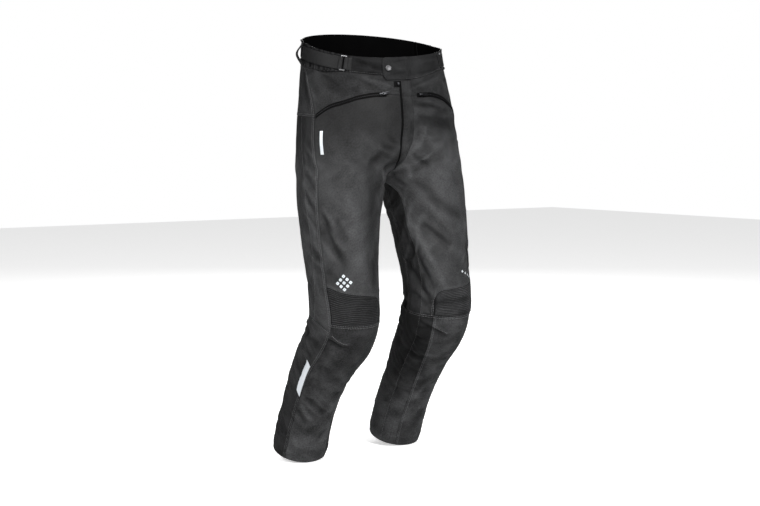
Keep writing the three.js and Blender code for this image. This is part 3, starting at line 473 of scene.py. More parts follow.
def seamAway(seam, u, s, perU, perS):
    # signed distance from a seam in millimetres, and where the seam runs
    if seam["runs"] == "down":
        slope = (seam["line"](s + nudgeS) - seam["line"](s - nudgeS)) / (2 * nudgeS) * perU / perS
        away, at = (u - seam["line"](s)) * perU, s
    else:
        slope = (seam["line"](u + nudgeU) - seam["line"](u - nudgeU)) / (2 * nudgeU) * perS / perU
        away, at = (s - seam["line"](u)) * perS, u
    return away / np.sqrt(1 + slope**2), (at >= seam["start"] - 1e-6) & (at <= seam["end"] + 1e-6)


def seamHeight(u, s, mark, perU, perS, skip=()):
    height = np.zeros(np.shape(u))
    allowance = seamLook["allowance"]
    for seam in seamsOf[mark]:
        if seam["name"] in skip:
            continue
        away, there = seamAway(seam, u, s, perU, perS)
        near = there & (np.abs(away) < seamLook["reach"])
        part = -seamLook["groove"] * np.exp(-((away[near] / seamLook["grooveHalf"]) ** 2))
        if seam["raised"]:
            over = away[near] * seam["raised"]
            end = 1 - smooth(allowance - 1, allowance + 1, over)
            part += seamLook["raise"] * smooth(0, 0.8, over) * end
        for row in seam["rows"]:
            part -= seamLook["dimple"] * np.exp(-(((away[near] - row) / seamLook["dimpleHalf"]) ** 2))
        height[near] += part
    return height


def clothPoint(u, s, mark, height=0.0, skip=()):
    # a point on the finished cloth, or height above it
    point, alongU, alongS, normal, perU, perS = stance(u, s, sides[mark])
    seams = seamHeight(np.asarray(u, float), np.asarray(s, float), mark, perU, perS, skip)
    move = foldHeight(point, mark)[0] + seams
    return point + normal * np.asarray(move + height)[..., None], alongU, alongS, normal, perU, perS


# Finishes

def node(tree, kind, **settings):
    # a shader node with its inputs and its own settings, given by name
    made = tree.nodes.new(kind)
    for key, value in settings.items():
        if key in made.inputs:
            made.inputs[key].default_value = value
        else:
            setattr(made, key, value)
    return made


def patternSource(tree, source, scale):
    coordinates = node(tree, "ShaderNodeTexCoord")
    mapping = node(tree, "ShaderNodeMapping", Scale=scale)
    tree.links.new(coordinates.outputs[source], mapping.inputs["Vector"])
    return mapping.outputs["Vector"]


def noiseOn(tree, place, scale, detail, roughness):
    noise = node(tree, "ShaderNodeTexNoise", Scale=scale, Detail=detail, Roughness=roughness)
    tree.links.new(place, noise.inputs["Vector"])
    return noise.outputs["Fac"]


def drawOut(tree, value, start, end, low, high, clamp=True):
    # a value from start to end drawn out to run from low to high
    drawn = node(tree, "ShaderNodeMapRange", clamp=clamp)
    for key, number in (("From Min", start), ("From Max", end), ("To Min", low), ("To Max", high)):
        drawn.inputs[key].default_value = number
    tree.links.new(value, drawn.inputs["Value"])
    return drawn.outputs["Result"]


def reckon(tree, operation, *terms):
    # one step of arithmetic on sockets and plain numbers
    step = node(tree, "ShaderNodeMath", operation=operation)
    for socket, term in zip(step.inputs, terms):
        if isinstance(term, float):
            socket.default_value = term
        else:
            tree.links.new(term, socket)
    return step.outputs[0]


def mixColours(tree, share, first, second):
    # inputs 0, 6 and 7 are the share and the two colours, and output 2 is the mixed colour
    mix = node(tree, "ShaderNodeMix", data_type="RGBA")
    mix.inputs[6].default_value = (*first, 1)
    mix.inputs[7].default_value = (*second, 1)
    tree.links.new(share, mix.inputs[0])
    return mix.outputs[2]


def addBump(tree, shader, height, strength, distance):
    bump = node(tree, "ShaderNodeBump", Strength=strength, Distance=distance * mm)
    tree.links.new(height, bump.inputs["Height"])
    tree.links.new(bump.outputs["Normal"], shader.inputs["Normal"])


def newFinish(name, roughness, metallic=0.0, sheen=0.0, specular=0.5):
    material = bpy.data.materials.new(name)
    material.use_nodes = True
    shader = material.node_tree.nodes["Principled BSDF"]
    shader.inputs["Roughness"].default_value = roughness
    shader.inputs["Metallic"].default_value = metallic
    shader.inputs["Sheen Weight"].default_value = sheen
    shader.inputs["Sheen Roughness"].default_value = 0.45
    shader.inputs["Specular IOR Level"].default_value = specular
    return material, material.node_tree, shader


# Dark and light colour of the yarn, width of a yarn in millimetres, slant of the weave from 0 for straight
# to 1 for 45 degrees, and at the end how far the cloth is mottled by clouds in the dye and by its grain
lookColumns = ("dark", "light", "yarn", "slant", "rough", "sheen", "bump", "specular", "cloud", "grain")
clothLooks = {
    "legCloth": (0.012, 0.045, 0.9, 1.0, 0.5, 0.02, 0.4, 0.13, 0.65, 0.7),
    "shinCloth": (0.006, 0.025, 0.9, 1.0, 0.55, 0.02, 0.4, 0.06, 0.9, 0.9),
    "yokeCloth": (0.005, 0.024, 0.9, 1.0, 0.55, 0.03, 0.4, 0.06, 0.8, 0.9),
    "calfCloth": (0.007, 0.027, 0.8, 0.0, 0.55, 0.03, 0.35, 0.05, 0.7, 0.8),
    "stretchCloth": (0.007, 0.03, 1.1, 0.0, 0.6, 0.01, 0.5, 0.05, 0.4, 0.5),
    "bandCloth": (0.006, 0.018, 0.7, 0.0, 0.55, 0.02, 0.35, 0.035, 0.7, 0.6),
    "webbing": (0.003, 0.0115, 1.6, 1.0, 0.5, 0.03, 0.6, 0.14, 0.3, 0.4),
    "zipTape": (0.0015, 0.004, 1.0, 1.0, 0.6, 0.0, 0.4, 0.03, 0.3, 0.4),
    # the lining is near-black, far darker than the outer cloth, as painted shade for the inside of the trousers
    "lining": (0.0006, 0.0016, 1.8, 0.0, 0.9, 0.0, 0.4, 0.02, 0.3, 0.4),
}


bandsPerUnit = 0.314  # scale at which a wave texture has one band to a unit, here a millimetre
mottleMiddle = 0.28  # where the mottling of cloth is centred between its dark and light colours
scratch = 0.1  # how far the roughness of metal wanders either way


def clothFinish(name, look):
    # two crossing sets of yarns on the cloth's own map, uneven dye and grain, all scaled by the painted light and
    # shade
    material, tree, shader = newFinish(name, look["rough"], 0.0, look["sheen"], look["specular"])
    link = tree.links.new
    flat = patternSource(tree, "UV", (1, 1, 1))
    yarns = []
    for turn in (0, 90):
        mapping = node(tree, "ShaderNodeMapping", Rotation=(0, 0, math.radians(turn + 45 * look["slant"])))
        link(flat, mapping.inputs["Vector"])
        wave = node(tree, "ShaderNodeTexWave", wave_type="BANDS", bands_direction="X", wave_profile="SIN",
                    Scale=bandsPerUnit / look["yarn"], Distortion=0.6)
        wave.inputs["Detail Scale"].default_value = 0.6
        link(mapping.outputs["Vector"], wave.inputs["Vector"])
        yarns.append(wave.outputs["Fac"])
    weave = reckon(tree, "MULTIPLY", *yarns)
    dye = noiseOn(tree, flat, 0.022, 6.0, 0.62)
    grain = noiseOn(tree, flat, 0.26, 3.0, 0.75)
    cloudy, grainy = (
        drawOut(tree, noise, 0.3, 0.7, mottleMiddle - share / 2, mottleMiddle + share / 2, False)
        for noise, share in ((dye, look["cloud"]), (grain, look["grain"])))
    mottle = reckon(tree, "ADD", grainy, reckon(tree, "MULTIPLY_ADD", weave, 0.25, cloudy))
    dark, light = ((look[key], look[key] * 1.01, look[key] * 1.04) for key in ("dark", "light"))
    # the painted light and shade kept on each piece scales the colour
    paintedTone = node(tree, "ShaderNodeAttribute", attribute_name="wear")
    scaled = node(tree, "ShaderNodeVectorMath", operation="SCALE")
    link(mixColours(tree, mottle, dark, light), scaled.inputs[0])
    link(paintedTone.outputs["Fac"], scaled.inputs["Scale"])
    link(scaled.outputs[0], shader.inputs["Base Color"])
    addBump(tree, shader, reckon(tree, "MULTIPLY_ADD", grain, 0.6, weave), look["bump"], 0.25)
    return material


def metalFinish(name, colour, roughness):
    # brushed along z, with a finish that wanders a little
    material, tree, shader = newFinish(name, roughness, 1.0)
    noise = noiseOn(tree, patternSource(tree, "Object", (900, 900, 240)), 1.0, 4.0, 0.6)
    rough = drawOut(tree, noise, 0.0, 1.0, roughness - scratch, roughness + scratch)
    tree.links.new(rough, shader.inputs["Roughness"])
    dark, light = [v * 0.75 for v in colour], [min(1, v * 1.2) for v in colour]
    tree.links.new(mixColours(tree, noise, dark, light), shader.inputs["Base Color"])
    addBump(tree, shader, noise, 0.2, 0.1)
    return material


def plainFinish(name, dark, light, roughness, scale, metallic=0.0, specular=0.5):
    # smooth plastic, thread and reflective print: a fine grain over one colour
    material, tree, shader = newFinish(name, roughness, metallic, 0.0, specular)
    noise = noiseOn(tree, patternSource(tree, "Object", (scale, scale, scale)), 1.0, 3.0, 0.6)
    tree.links.new(mixColours(tree, noise, dark, light), shader.inputs["Base Color"])
    addBump(tree, shader, noise, 0.15, 0.1)
    return material


finishes = {name: clothFinish(name, dict(zip(lookColumns, row))) for name, row in clothLooks.items()}
finishes["steel"] = metalFinish("steel", (0.42, 0.42, 0.43), 0.36)
finishes["darkSteel"] = metalFinish("darkSteel", (0.05, 0.051, 0.054), 0.42)
finishes["snapSteel"] = metalFinish("snapSteel", (0.11, 0.11, 0.113), 0.5)
finishes["thread"] = plainFinish("thread", (0.06, 0.06, 0.062), (0.11, 0.11, 0.113), 0.5, 1500)
finishes["paleThread"] = plainFinish("paleThread", (0.12, 0.12, 0.123), (0.2, 0.2, 0.204), 0.5, 1500)
finishes["teeth"] = plainFinish("teeth", (0.004, 0.004, 0.0045), (0.012, 0.012, 0.013), 0.45, 800, 0.0, 0.12)
finishes["reflective"] = plainFinish("reflective", (0.5, 0.53, 0.56), (0.66, 0.69, 0.72), 0.35, 1200, 0.2)
print("finishes made")


# Pieces

# Grid lines beside a seam, in millimetres
seamSteps = np.array([0, 0.7, 1.5, 2.3, 3.2, 4.6, 6.0, 7.0, 8.2, 10.5])
lap = {"reach": 5.0, "turn": 0.4, "depth": 1.3}  # allowance that reaches under the next piece


def zoneLines(widths, fine, lapStart, lapEnd, spacing):
    # grid lines across zones: zone, part of the zone, and millimetres past the piece's own edge
    lines = []
    for zone, width in enumerate(widths):
        steps = seamSteps[seamSteps < width * 0.42]
        head = steps if fine[zone] else np.array([0.0])
        tail = steps if fine[zone + 1] else np.array([0.0])
        inner = width - head[-1] - tail[-1]
        count = max(1, round(inner / spacing))
        places = [*head, *(head[-1] + inner * k / count for k in range(1, count)), *(width - tail[::-1])]
        lines += [(zone, place / width, 0.0) for place in places[:-1]]
    lines.append((len(widths) - 1, 1.0, 0.0))
    if lapStart:
        lines = [(0, 0.0, -lap["reach"]), (0, 0.0, -lap["turn"]), *lines]
    if lapEnd:
        lines += [(len(widths) - 1, 1.0, lap["turn"]), (len(widths) - 1, 1.0, lap["reach"])]
    return [np.array(column) for column in zip(*lines)]


def linesAround(lines, zone, at):
    # where the lines on the two sides of each zone run
    runs = np.stack([line(at) for line in lines])
    zone = np.broadcast_to(zone, at.shape)
    return [np.take_along_axis(runs, (zone + k)[None], 0)[0] for k in (0, 1)]


def settle(edges, cuts, zoneU, partU, pastU, zoneS, partS, pastS, mark):
    # u and s where the grid lines cross, found by going back and forth between the two sets of seams
    u = np.zeros((len(zoneU), len(zoneS))) + edges[0](kneeLevel / 2)
    s = np.zeros_like(u)
    for _ in range(14):
        low, high = linesAround(cuts, zoneS, u)
        s = low + (high - low) * partS
        low, high = linesAround(edges, zoneU[:, None], s)
        u = low + (high - low) * partU[:, None]
    perU, perS = stance(u, s, sides[mark])[4:]
    return u + pastU[:, None] / perU, s + pastS / perS


def meshFrom(bm, name):
    mesh = bpy.data.meshes.new(name)
    bm.to_mesh(mesh)
    bm.free()
    return mesh


def placeObject(name, data):
    made = bpy.data.objects.new(name, data)
    bpy.context.scene.collection.objects.link(made)
    return made


def shadeSmooth(mesh, sharpAngle):
    mesh.polygons.foreach_set("use_smooth", [True] * len(mesh.polygons))
    mesh.set_sharp_from_angle(angle=math.radians(sharpAngle))


def clothMesh(name, points, uv, keep, flip, wear=None):
    # one face to each kept cell of the grid, with the flat map and the painted light and shade
    bm = bmesh.new()
    columns, rows = points.shape[0] - 1, points.shape[1] - 1
    bmesh.ops.create_grid(bm, x_segments=columns, y_segments=rows, size=1)
    layer = bm.loops.layers.uv.new("cloth")
    paintedTone = bm.verts.layers.float.new("wear")
    where = {v: (round((v.co.x + 1) / 2 * columns), round((v.co.y + 1) / 2 * rows)) for v in bm.verts}
    cells = [(f, tuple(min(where[v][k] for v in f.verts) for k in (0, 1))) for f in bm.faces]
    gone = [face for face, at in cells if not keep[at]]
    for face in bm.faces:
        for loop in face.loops:
            loop[layer].uv = uv[where[loop.vert]]
    for v, at in where.items():
        v.co = points[at] * mm
        v[paintedTone] = 1.0 if wear is None else wear[at]
    bmesh.ops.delete(bm, geom=gone, context="FACES")
    if flip:
        bmesh.ops.reverse_faces(bm, faces=bm.faces)
    return meshFrom(bm, name)


def runLength(points, axis=0):
    # the way travelled along one side of a grid or along a line, from 0 at its start
    return np.insert(np.linalg.norm(np.diff(points, axis=axis), axis=-1).cumsum(axis), 0, 0, axis)


def shell(name, mesh, material, wall, soften=0.0, lining="lining"):
    # gives the sheet its wall, rounds its free rims and keeps sharp rims crisp
    mesh.materials.append(finishes[material])
    mesh.materials.append(finishes[lining])
    raw = placeObject(name + "_raw", mesh)
    solid = raw.modifiers.new("wall", "SOLIDIFY")
    solid.thickness = wall * mm
    solid.offset = -1
    solid.material_offset = 1
    if soften:
        bevel = raw.modifiers.new("rims", "BEVEL")
        bevel.width = soften * mm
        bevel.segments = 2
        bevel.limit_method = "ANGLE"
        bevel.angle_limit = math.radians(60)
    done = bpy.data.meshes.new_from_object(raw.evaluated_get(bpy.context.evaluated_depsgraph_get()))
    bpy.data.objects.remove(raw)
    done.name = name
    shadeSmooth(done, 50)
    return placeObject(name, done)


def dress(piece, replaced=(), body="trousers"):
    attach(piece, body)
    if replaced:
        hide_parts(*replaced)
    return piece


# Painted light and shade: the cloth's colour is lighter on ridges and seam edges as painted highlight, lighter
# down the middle of the thighs as painted sheen, and darker in creases as painted shade
# The first three values are the heights in millimetres at which creases, seams and bumps count nearly in full
wear = {"crease": 1.9, "seam": 1.1, "bump": 0.6, "depth": 0.46}
# painted light and shade by level on each leg: darker at the hips, lighter down the middle of the thighs, and
# each leg's lower pieces, knee ribs and band lighter or darker as the light falls on them
wearByLevel = {
    "legCloth": {
        "R": through([(1.7, 0.26), (3, 0.3), (4.5, 0.62), (6, 0.8), (9, 0.86), (10.5, 0.84), (12, 0.84)]),
        "L": through([(1.7, 0.5), (3, 0.62), (4, 0.95), (5, 1.25), (7, 1.25), (10.5, 0.85), (12, 0.85)])},
    "shinCloth": {"R": through([(12, 0.85), (14, 1.3), (17, 1.8)]),
                  "L": through([(12, 1.3), (14, 1.4), (17, 1.55)])},
    "stretchCloth": {"R": asCurve(0.68), "L": asCurve(1.0)},
    "calfCloth": {"R": through([(12, 1.05), (14, 0.95), (17, 0.6)]),
                  "L": through([(12, 0.6), (14, 0.6), (15.5, 1.35), (17, 1.9)])},
    "bandCloth": {"R": asCurve(0.6), "L": asCurve(1.0)},
}
# painted shade: the inner thighs darker towards the crotch, where the legs shade each other
wearInside = through([(crotchLevel, 0.3), (8, 0.45), (9.5, 0.7), (kneeLevel, 0.8)])


def wearAt(u, s, creases, seams, material, mark):
    base = wearByLevel[material][mark](s) if material in wearByLevel else 1.0
    # painted shade: the left leg's cloth darker from the front of the thigh towards its outer side and back
    if material == "legCloth" and mark == "L":
        base = base * (0.55 + 0.45 * smooth(0.56, 0.7, u))
    # painted highlight on ridges and raised seam allowances, painted shade in creases and seam grooves
    return base * (1 + wear["depth"] * np.tanh(creases / wear["crease"] + seams / wear["seam"]))


def flyPlace(u):
    # u counted from the middle front, on whichever half it falls
    return 1 - np.abs(u), np.where(u < 0, -1.0, 1.0)


plainEdges = ([False, False], [False, False])  # no close grid lines along any edge


def outerOnly(lines):
    return [k in (0, len(lines) - 1) for k in range(len(lines))]


def cutPiece(name, mark, across, down, fine=None, missing=(), laps="rb", wall=1.0, lift=None, relief=None,
             material="legCloth", soften=0.0, spacing=(cell, cell), skip=(), middle=False, held="stretched",
             replaced=None, sheet=True, lining="lining", shade=0.0, tone=None):
    # a cut piece of cloth between seams. across gives u by level, down gives s by u, missing the zones cut
    # away, fine the lines with close grid lines beside them, which are the outer ones unless it says otherwise,
    # and laps the edges that reach under a neighbour: left, right or below
    edges, cuts = [asCurve(e) for e in across], [asCurve(c) for c in down]
    fineU, fineS = fine or (outerOnly(edges), outerOnly(cuts))

    def measure(u, s):
        return stance(flyPlace(u)[0] if middle else u, s, sides[mark])[4:]

    start = edges[0](5.0)
    spanAt = float(np.mean([0.5 * (a(start) + b(start)) for a, b in zip(cuts, cuts[1:])]))
    places = [float(edge(spanAt)) for edge in edges]
    widths = [abs(b - a) * float(measure((a + b) / 2, spanAt)[0]) for a, b in zip(places, places[1:])]
    uMid = 0.5 * (places[0] + places[-1])
    levels = [float(cut(uMid)) for cut in cuts]
    heights = [abs(b - a) * float(measure(uMid, (a + b) / 2)[1]) for a, b in zip(levels, levels[1:])]
    zoneU, partU, pastU = zoneLines(widths, fineU, "l" in laps, "r" in laps, spacing[0])
    zoneS, partS, pastS = zoneLines(heights, fineS, False, "b" in laps, spacing[1])
    u, s = settle(edges, cuts, zoneU, partU, pastU, zoneS, partS, pastS, mark)
    placeU, side = flyPlace(u) if middle else (u, np.full(u.shape, float(sides[mark])))
    point, alongU, alongS, normal, perU, perS = stance(placeU, s, side)
    under = (pastU[:, None] != 0) | (pastS != 0)
    keep = np.ones((len(zoneU) - 1, len(zoneS) - 1), bool)
    if missing:
        inner = np.zeros(u.shape, bool)
        for a, b in missing:
            inner |= (zoneU[:, None] == a) & (zoneS == b)
        intoNotch = np.minimum((s - cuts[missing[0][1]](u)) * perS, (edges[missing[-1][0] + 1](s) - u) * perU)
        deep = inner & (intoNotch > lap["reach"] + 0.1)
        under |= inner & (intoNotch > 0.3)
        keep = ~(deep[:-1, :-1] | deep[1:, 1:] | deep[1:, :-1] | deep[:-1, 1:]) | ~inner[:-1, :-1]
    move, paintedTone = np.zeros(u.shape), np.ones(u.shape)
    for half, value in sides.items():
        on = side == value
        if on.any():
            folds, creases = foldHeight(point[on], half)
            seams = seamHeight(placeU[on], s[on], half, perU[on], perS[on], skip)
            move[on] = folds + seams
            paintedTone[on] = wearAt(placeU[on], s[on], creases, seams, material, half)
    # painted shade by level, such as the inner thighs darker towards the crotch
    if tone is not None:
        paintedTone *= tone(s)
    if lift is not None:
        move += lift(u, s, perU, perS)
    if relief is not None:
        bumps = relief(u, s, perU, perS)
        move += bumps
        # painted shade in the hollows of ribs and gathers and painted highlight on their tops
        paintedTone *= 1 + shade * np.tanh((bumps - bumps.mean()) / wear["bump"])
    lowest = np.minimum(move, foldHeight(point, mark)[0] - lap["depth"]) if not middle else move
    move = np.where(under, lowest, move)
    if middle:
        normal[np.abs(u) < 0.002, 0] = 0
        normal /= np.linalg.norm(normal, axis=-1, keepdims=True)
    final = point + normal * move[..., None]
    along = runLength(point)
    along -= along[along.shape[0] // 2]
    fall = runLength(point, 1)
    mesh = clothMesh(name, final, np.stack([along, -fall], -1), keep, sides[mark] < 0 or middle, paintedTone)
    piece = shell(name, mesh, material, wall, soften, lining)
    dress(piece, replaced if replaced is not None else [name.replace("_fine", "")])
    return piece


# Knees: ribs across the front of each
ribs = {"count": 17, "height": 2.2, "fade": 4, "grid": (4.5, 0.82)}


def ribRelief(u, s, perU, perS):
    # rounded ribs that waver a little and sink towards the seams at their ends
    count = ribs["count"]
    part = np.clip((s - ribTop(u)) / (kneeLevel - ribTop(u)), 0, 1) * count
    waver = 0.22 * np.sin(u * 43) * np.sin(part * 0.55) * smooth(0, 2, np.minimum(part, count - part))
    rounded = np.abs(np.sin(math.pi * np.clip(part + waver, 0, count))) ** 0.75
    fade = smooth(0, ribs["fade"], np.minimum((u - sideFront(s)) * perU, (ribInner - u) * perU))
    return ribs["height"] * rounded * (0.25 + 0.75 * fade)


# Waistband: folded double cloth, gathered on elastic at the sides
band = {"wall": 1.9, "soften": 0.7, "gathers": 18, "gatherHeight": 3.4, "gatherUnderStrap": 0.35,
        "strapFrom": 0.12, "strapTo": 0.78, "frontGrid": (3.0, 1.6),
        "sideGrid": (1.6, 4)}


def gatherRelief(u, s, perU, perS):
    part = (u - elasticBack) / (elasticFront - elasticBack) * band["gathers"]
    uneven = part + 0.22 * np.sin(1.9 * part) + 0.14 * np.sin(4.3 * part + s)
    wave = (0.5 - 0.5 * np.cos(2 * math.pi * uneven)) ** 0.8
    size = 0.7 + 0.3 * np.sin(2.7 * part + 1)
    least = band["gatherUnderStrap"]
    clear = smooth(0.0, 0.06, np.maximum(band["strapFrom"] - s, s - band["strapTo"]))
    return wave * size * (least + (band["gatherHeight"] - least) * clear)


tab = {"fold": 0.99, "corner": 0.014, "middle": 0.56, "lift": 2.4}


def tabLift(u, *others):
    # the tab rises over the end of the right band
    return tab["lift"] * smooth(flyBand, tab["fold"], u)


def tabLine(s):
    return tabEnd - tab["corner"] * (np.abs(s - tab["middle"]) / tab["middle"]) ** 5


rim = {"full": 0.4, "fullHalf": 6, "groove": 0.25, "grooveAt": 9, "grooveHalf": 1.2}


def bandEdge(u, s, perU, perS):
    # the folded rim is a little fuller than the band below it
    below = s * perS
    fuller = rim["full"] * np.exp(-((below / rim["fullHalf"]) ** 2))
    return fuller - rim["groove"] * np.exp(-(((below - rim["grooveAt"]) / rim["grooveHalf"]) ** 2))


def makeBands():
    for mark in sides:
        cutPiece(f"band_side_{mark}_fine", mark, [elasticBack, elasticFront], [0, waistSeams[mark]], laps="b",
                 wall=band["wall"], relief=gatherRelief, material="bandCloth", soften=band["soften"],
                 spacing=band["sideGrid"], held="gathered", shade=0.6)
    cutPiece("band_front_R_fine", "R", [elasticFront, ribInner, flyBand, 1], [0, waistSeams["R"]], laps="lb",
             wall=band["wall"], relief=bandEdge, material="bandCloth", soften=band["soften"],
             spacing=band["frontGrid"])
    cutPiece("band_front_L_fine", "L", [elasticFront, ribInner, flyBand, tab["fold"], tabLine],
             [0, waistSeams["L"]], laps="l", wall=band["wall"], lift=tabLift, relief=bandEdge,
             material="bandCloth", soften=band["soften"], spacing=band["frontGrid"])
    cutPiece("band_back_fine", "L", [-elasticBack, elasticBack], [0, 1], laps="lrb", wall=band["wall"],
             relief=bandEdge, material="bandCloth", soften=band["soften"])


# Legs
hem = {"fold": 0.5, "height": 26, "groove": 0.3, "curl": 3.0, "curlHeight": 22}  # turned hem, in millimetres


def hemRelief(u, s, perU, perS):
    # the turned cloth stands out below its stitch line, and the rim curls in
    above = (hemLevel - s) * perS
    fold = hem["fold"] * (1 - smooth(hem["height"] - 1, hem["height"] + 1, above))
    groove = hem["groove"] * np.exp(-((above - hem["height"]) ** 2))
    return fold - groove - hem["curl"] * (1 - smooth(0, hem["curlHeight"], above))


def makeLegs():
    fork = [crotchLevel, forkEnd, ribTop]
    lower = {"laps": "r", "wall": 1.4, "relief": hemRelief, "soften": 0.4}
    for mark in sides:
        waist = waistSeams[mark]
        backLaps, frontLaps = ("lrb", "rb") if mark == "R" else ("rb", "b")
        pieces = [
            ("front_yoke", [sideFront, elasticFront, ribInner, flyBand, 1], [waist, pocketLine],
             {"laps": frontLaps, "material": "yokeCloth"}),
            ("back_yoke", [0, sideFront], [waist, yokeLevel], {"laps": backLaps, "material": "yokeCloth"}),
            ("thigh_front", [sideFront, elasticFront, ribInner, thighInner], [pocketLine, *fork, kneeLevel],
             {"fine": ([True, False, True, True], [True, False, False, True, True]),
              "missing": [(0, 3), (1, 3)]}),
            ("back_thigh", [0, sideBack], [yokeLevel, *fork, kneeLine], {"laps": backLaps}),
            ("side_panel", [sideBack, sideFront], [yokeLevel, *fork, kneeLine], {}),
            ("inner_thigh", [wedgeLine, 1], [*fork, kneeLevel], {"tone": wearInside}),
            ("knee_rib", [sideFront, elasticFront, ribInner], [ribTop, kneeLevel],
             {"fine": ([True, False, True], [False, False]), "laps": "b", "relief": ribRelief,
              "material": "stretchCloth", "shade": 0.9, "spacing": ribs["grid"]}),
            ("shin_front", [sideFront, shinInner], [kneeLevel, bendEnd, hemLevel],
             {**lower, "material": "shinCloth"}),
            ("calf_inner", [shinInner, calfInner], [kneeLevel, bendEnd, hemLevel],
             {**lower, "material": "calfCloth"}),
            ("calf_back", [calfInner - 1, sideFront], [kneeLine, bendEnd, hemLevel],
             {**lower, "material": "calfCloth"}),
        ]
        for part, across, down, settings in pieces:
            cutPiece(f"{part}_{mark}_fine", mark, across, down, **settings)


makeBands()
print("waistband made")
makeLegs()
print("legs made")


# Reflective strip over each lower side seam, with slanted ends and a fold across its middle
strip = {"top": 13.62, "foot": 14.64, "slant": 4.5, "middle": 0.557, "back": 0.4302, "front": 0.4592,
         "drift": 0.008, "wall": 1.0, "lift": 1.3, "fold": 0.5, "foldAt": 14.12, "foldHalf": 1.5}


def stripLift(u, s, perU, perS):
    return strip["lift"] - strip["fold"] * np.exp(-(((s - strip["foldAt"]) * perS / strip["foldHalf"]) ** 2))


# Pocket zips: black tape with two rolled lips over a row of teeth
pocket = {"half": 5.4, "start": 0.6, "lip": 1.4, "well": 0.75, "pitch": 2.4, "tooth": (1.3, 2.0, 0.9),
          "stagger": 0.55, "toothLift": 1.25, "toothGaps": (0.004, 0.012), "lipRise": (1.1, 2.6),
          "lipEnd": (4.0, 5.0), "edgeDrop": 0.75}
pocketStop = {"R": 0.91, "L": 0.955}
sliderU = {"R": 0.888, "L": 0.936}


def zipLift(u, s, perU, perS):
    # a well for the teeth, a lip on each side of it, and edges that lie down again
    off = np.abs((s - pocketLine(u)) * perS)
    lip = smooth(*pocket["lipRise"], off) * (1 - pocket["edgeDrop"] * smooth(*pocket["lipEnd"], off))
    return pocket["well"] + (pocket["lip"] - pocket["well"]) * lip


def makeTeeth(name, mark, us):
    # one small block for each tooth, in turn on either side of the pocket's line
    bm = bmesh.new()
    point, alongU, _, normal, _, _ = clothPoint(us, pocketLine(us), mark, pocket["toothLift"], ("pocket",))
    for k in range(len(us)):
        up = Vector(normal[k])
        over = up.cross(Vector(alongU[k]).normalized()).normalized()
        place = Vector(point[k]) + over * (pocket["stagger"] if k % 2 else -pocket["stagger"])
        ways = (way * size for way, size in zip((over.cross(up), over, up), pocket["tooth"]))
        turn = Matrix(tuple(ways)).transposed().to_4x4()
        bmesh.ops.create_cube(bm, size=mm, matrix=Matrix.Translation(place * mm) @ turn)
    mesh = meshFrom(bm, name)
    mesh.materials.append(finishes["teeth"])
    return dress(placeObject(name, mesh))


def makeZipsAndStrips():
    for mark, side in sides.items():
        slider, stop = sliderU[mark], pocketStop[mark]
        reach = pocket["half"] / float(stance(slider, pocketLine(slider), side)[5])
        lower, upper = (lambda u: pocketLine(u) - reach), (lambda u: pocketLine(u) + reach)
        cutPiece(f"pocket_zip_{mark}_fine", mark, [pocket["start"], stop], [lower, upper], fine=plainEdges,
                 laps="", wall=0.7, lift=zipLift, material="zipTape", spacing=(3.0, 0.7), skip=("pocket",),
                 soften=0.25)
        count = int((stop - pocket["start"]) * float(stance(0.75, 2.2, 1)[4]) / pocket["pitch"])
        first, last = pocket["toothGaps"]
        makeTeeth(f"pocket_teeth_{mark}", mark, np.linspace(pocket["start"] + first, stop - last, count))
        across = [lambda s: strip["back"] + strip["drift"] * s, lambda s: strip["front"] + strip["drift"] * s]
        down = [lambda u: strip["top"] + strip["slant"] * (u - strip["middle"]),
                lambda u: strip["foot"] + strip["slant"] * (u - strip["middle"])]
        cutPiece(f"reflective_strip_{mark}_fine", mark, across, down, fine=plainEdges, laps="",
                 wall=strip["wall"], lift=stripLift, material="reflective", spacing=(2.2, 3.0), soften=0.3,
                 skip=("sideFront",), lining="reflective")


makeZipsAndStrips()
print("zips and strips made")


# Fly: flap over the middle with its zip tape in the shade of the free edge
flap = {"top": 1.17, "foot": 6.2, "lift": 2.15, "curl": 0.9, "curlHalf": 4, "curlFrom": 60, "low": 0.3,
        "sewn": 1.3, "sewnHalf": 1.5, "groove": 0.35, "grooveAt": 3, "grooveHalf": 0.8,
        "sinks": (4.2, 4.8), "sinkWidth": 9}
flyEnd = {"back": 0.945, "front": 0.971, "top": 1.18, "foot": 1.42, "lift": 1.2}
flyTape = {"behind": 0.0075, "narrower": 0.0045, "front": 0.024, "foot": 5.9, "lift": 0.7}


def flapLift(u, s, perU, perS):
    # the free edge curls up, the sewn edge lies down, and the foot sinks into the cloth
    free = np.abs(u - flyFreeEdge(s)) * perU
    sewn = np.abs(u - flySewnEdge(s)) * perU
    end = (flap["foot"] - s) * perS
    curl = np.exp(-((free / flap["curlHalf"]) ** 2)) * smooth(0, flap["curlFrom"], end)
    height = flap["lift"] + flap["curl"] * curl
    height = height - flap["sewn"] * np.exp(-((sewn / flap["sewnHalf"]) ** 2))
    height = height - flap["groove"] * np.exp(-(((sewn - flap["grooveAt"]) / flap["grooveHalf"]) ** 2))
    sunk = smooth(*flap["sinks"], s) * (1 - smooth(0, flap["sinkWidth"], sewn))
    return flap["low"] + (height - flap["low"]) * (1 - sunk)


def tapeBack(s):
    return flyFreeEdge(s) - flyTape["behind"] + flyTape["narrower"] * smooth(2.5, 5.5, s)


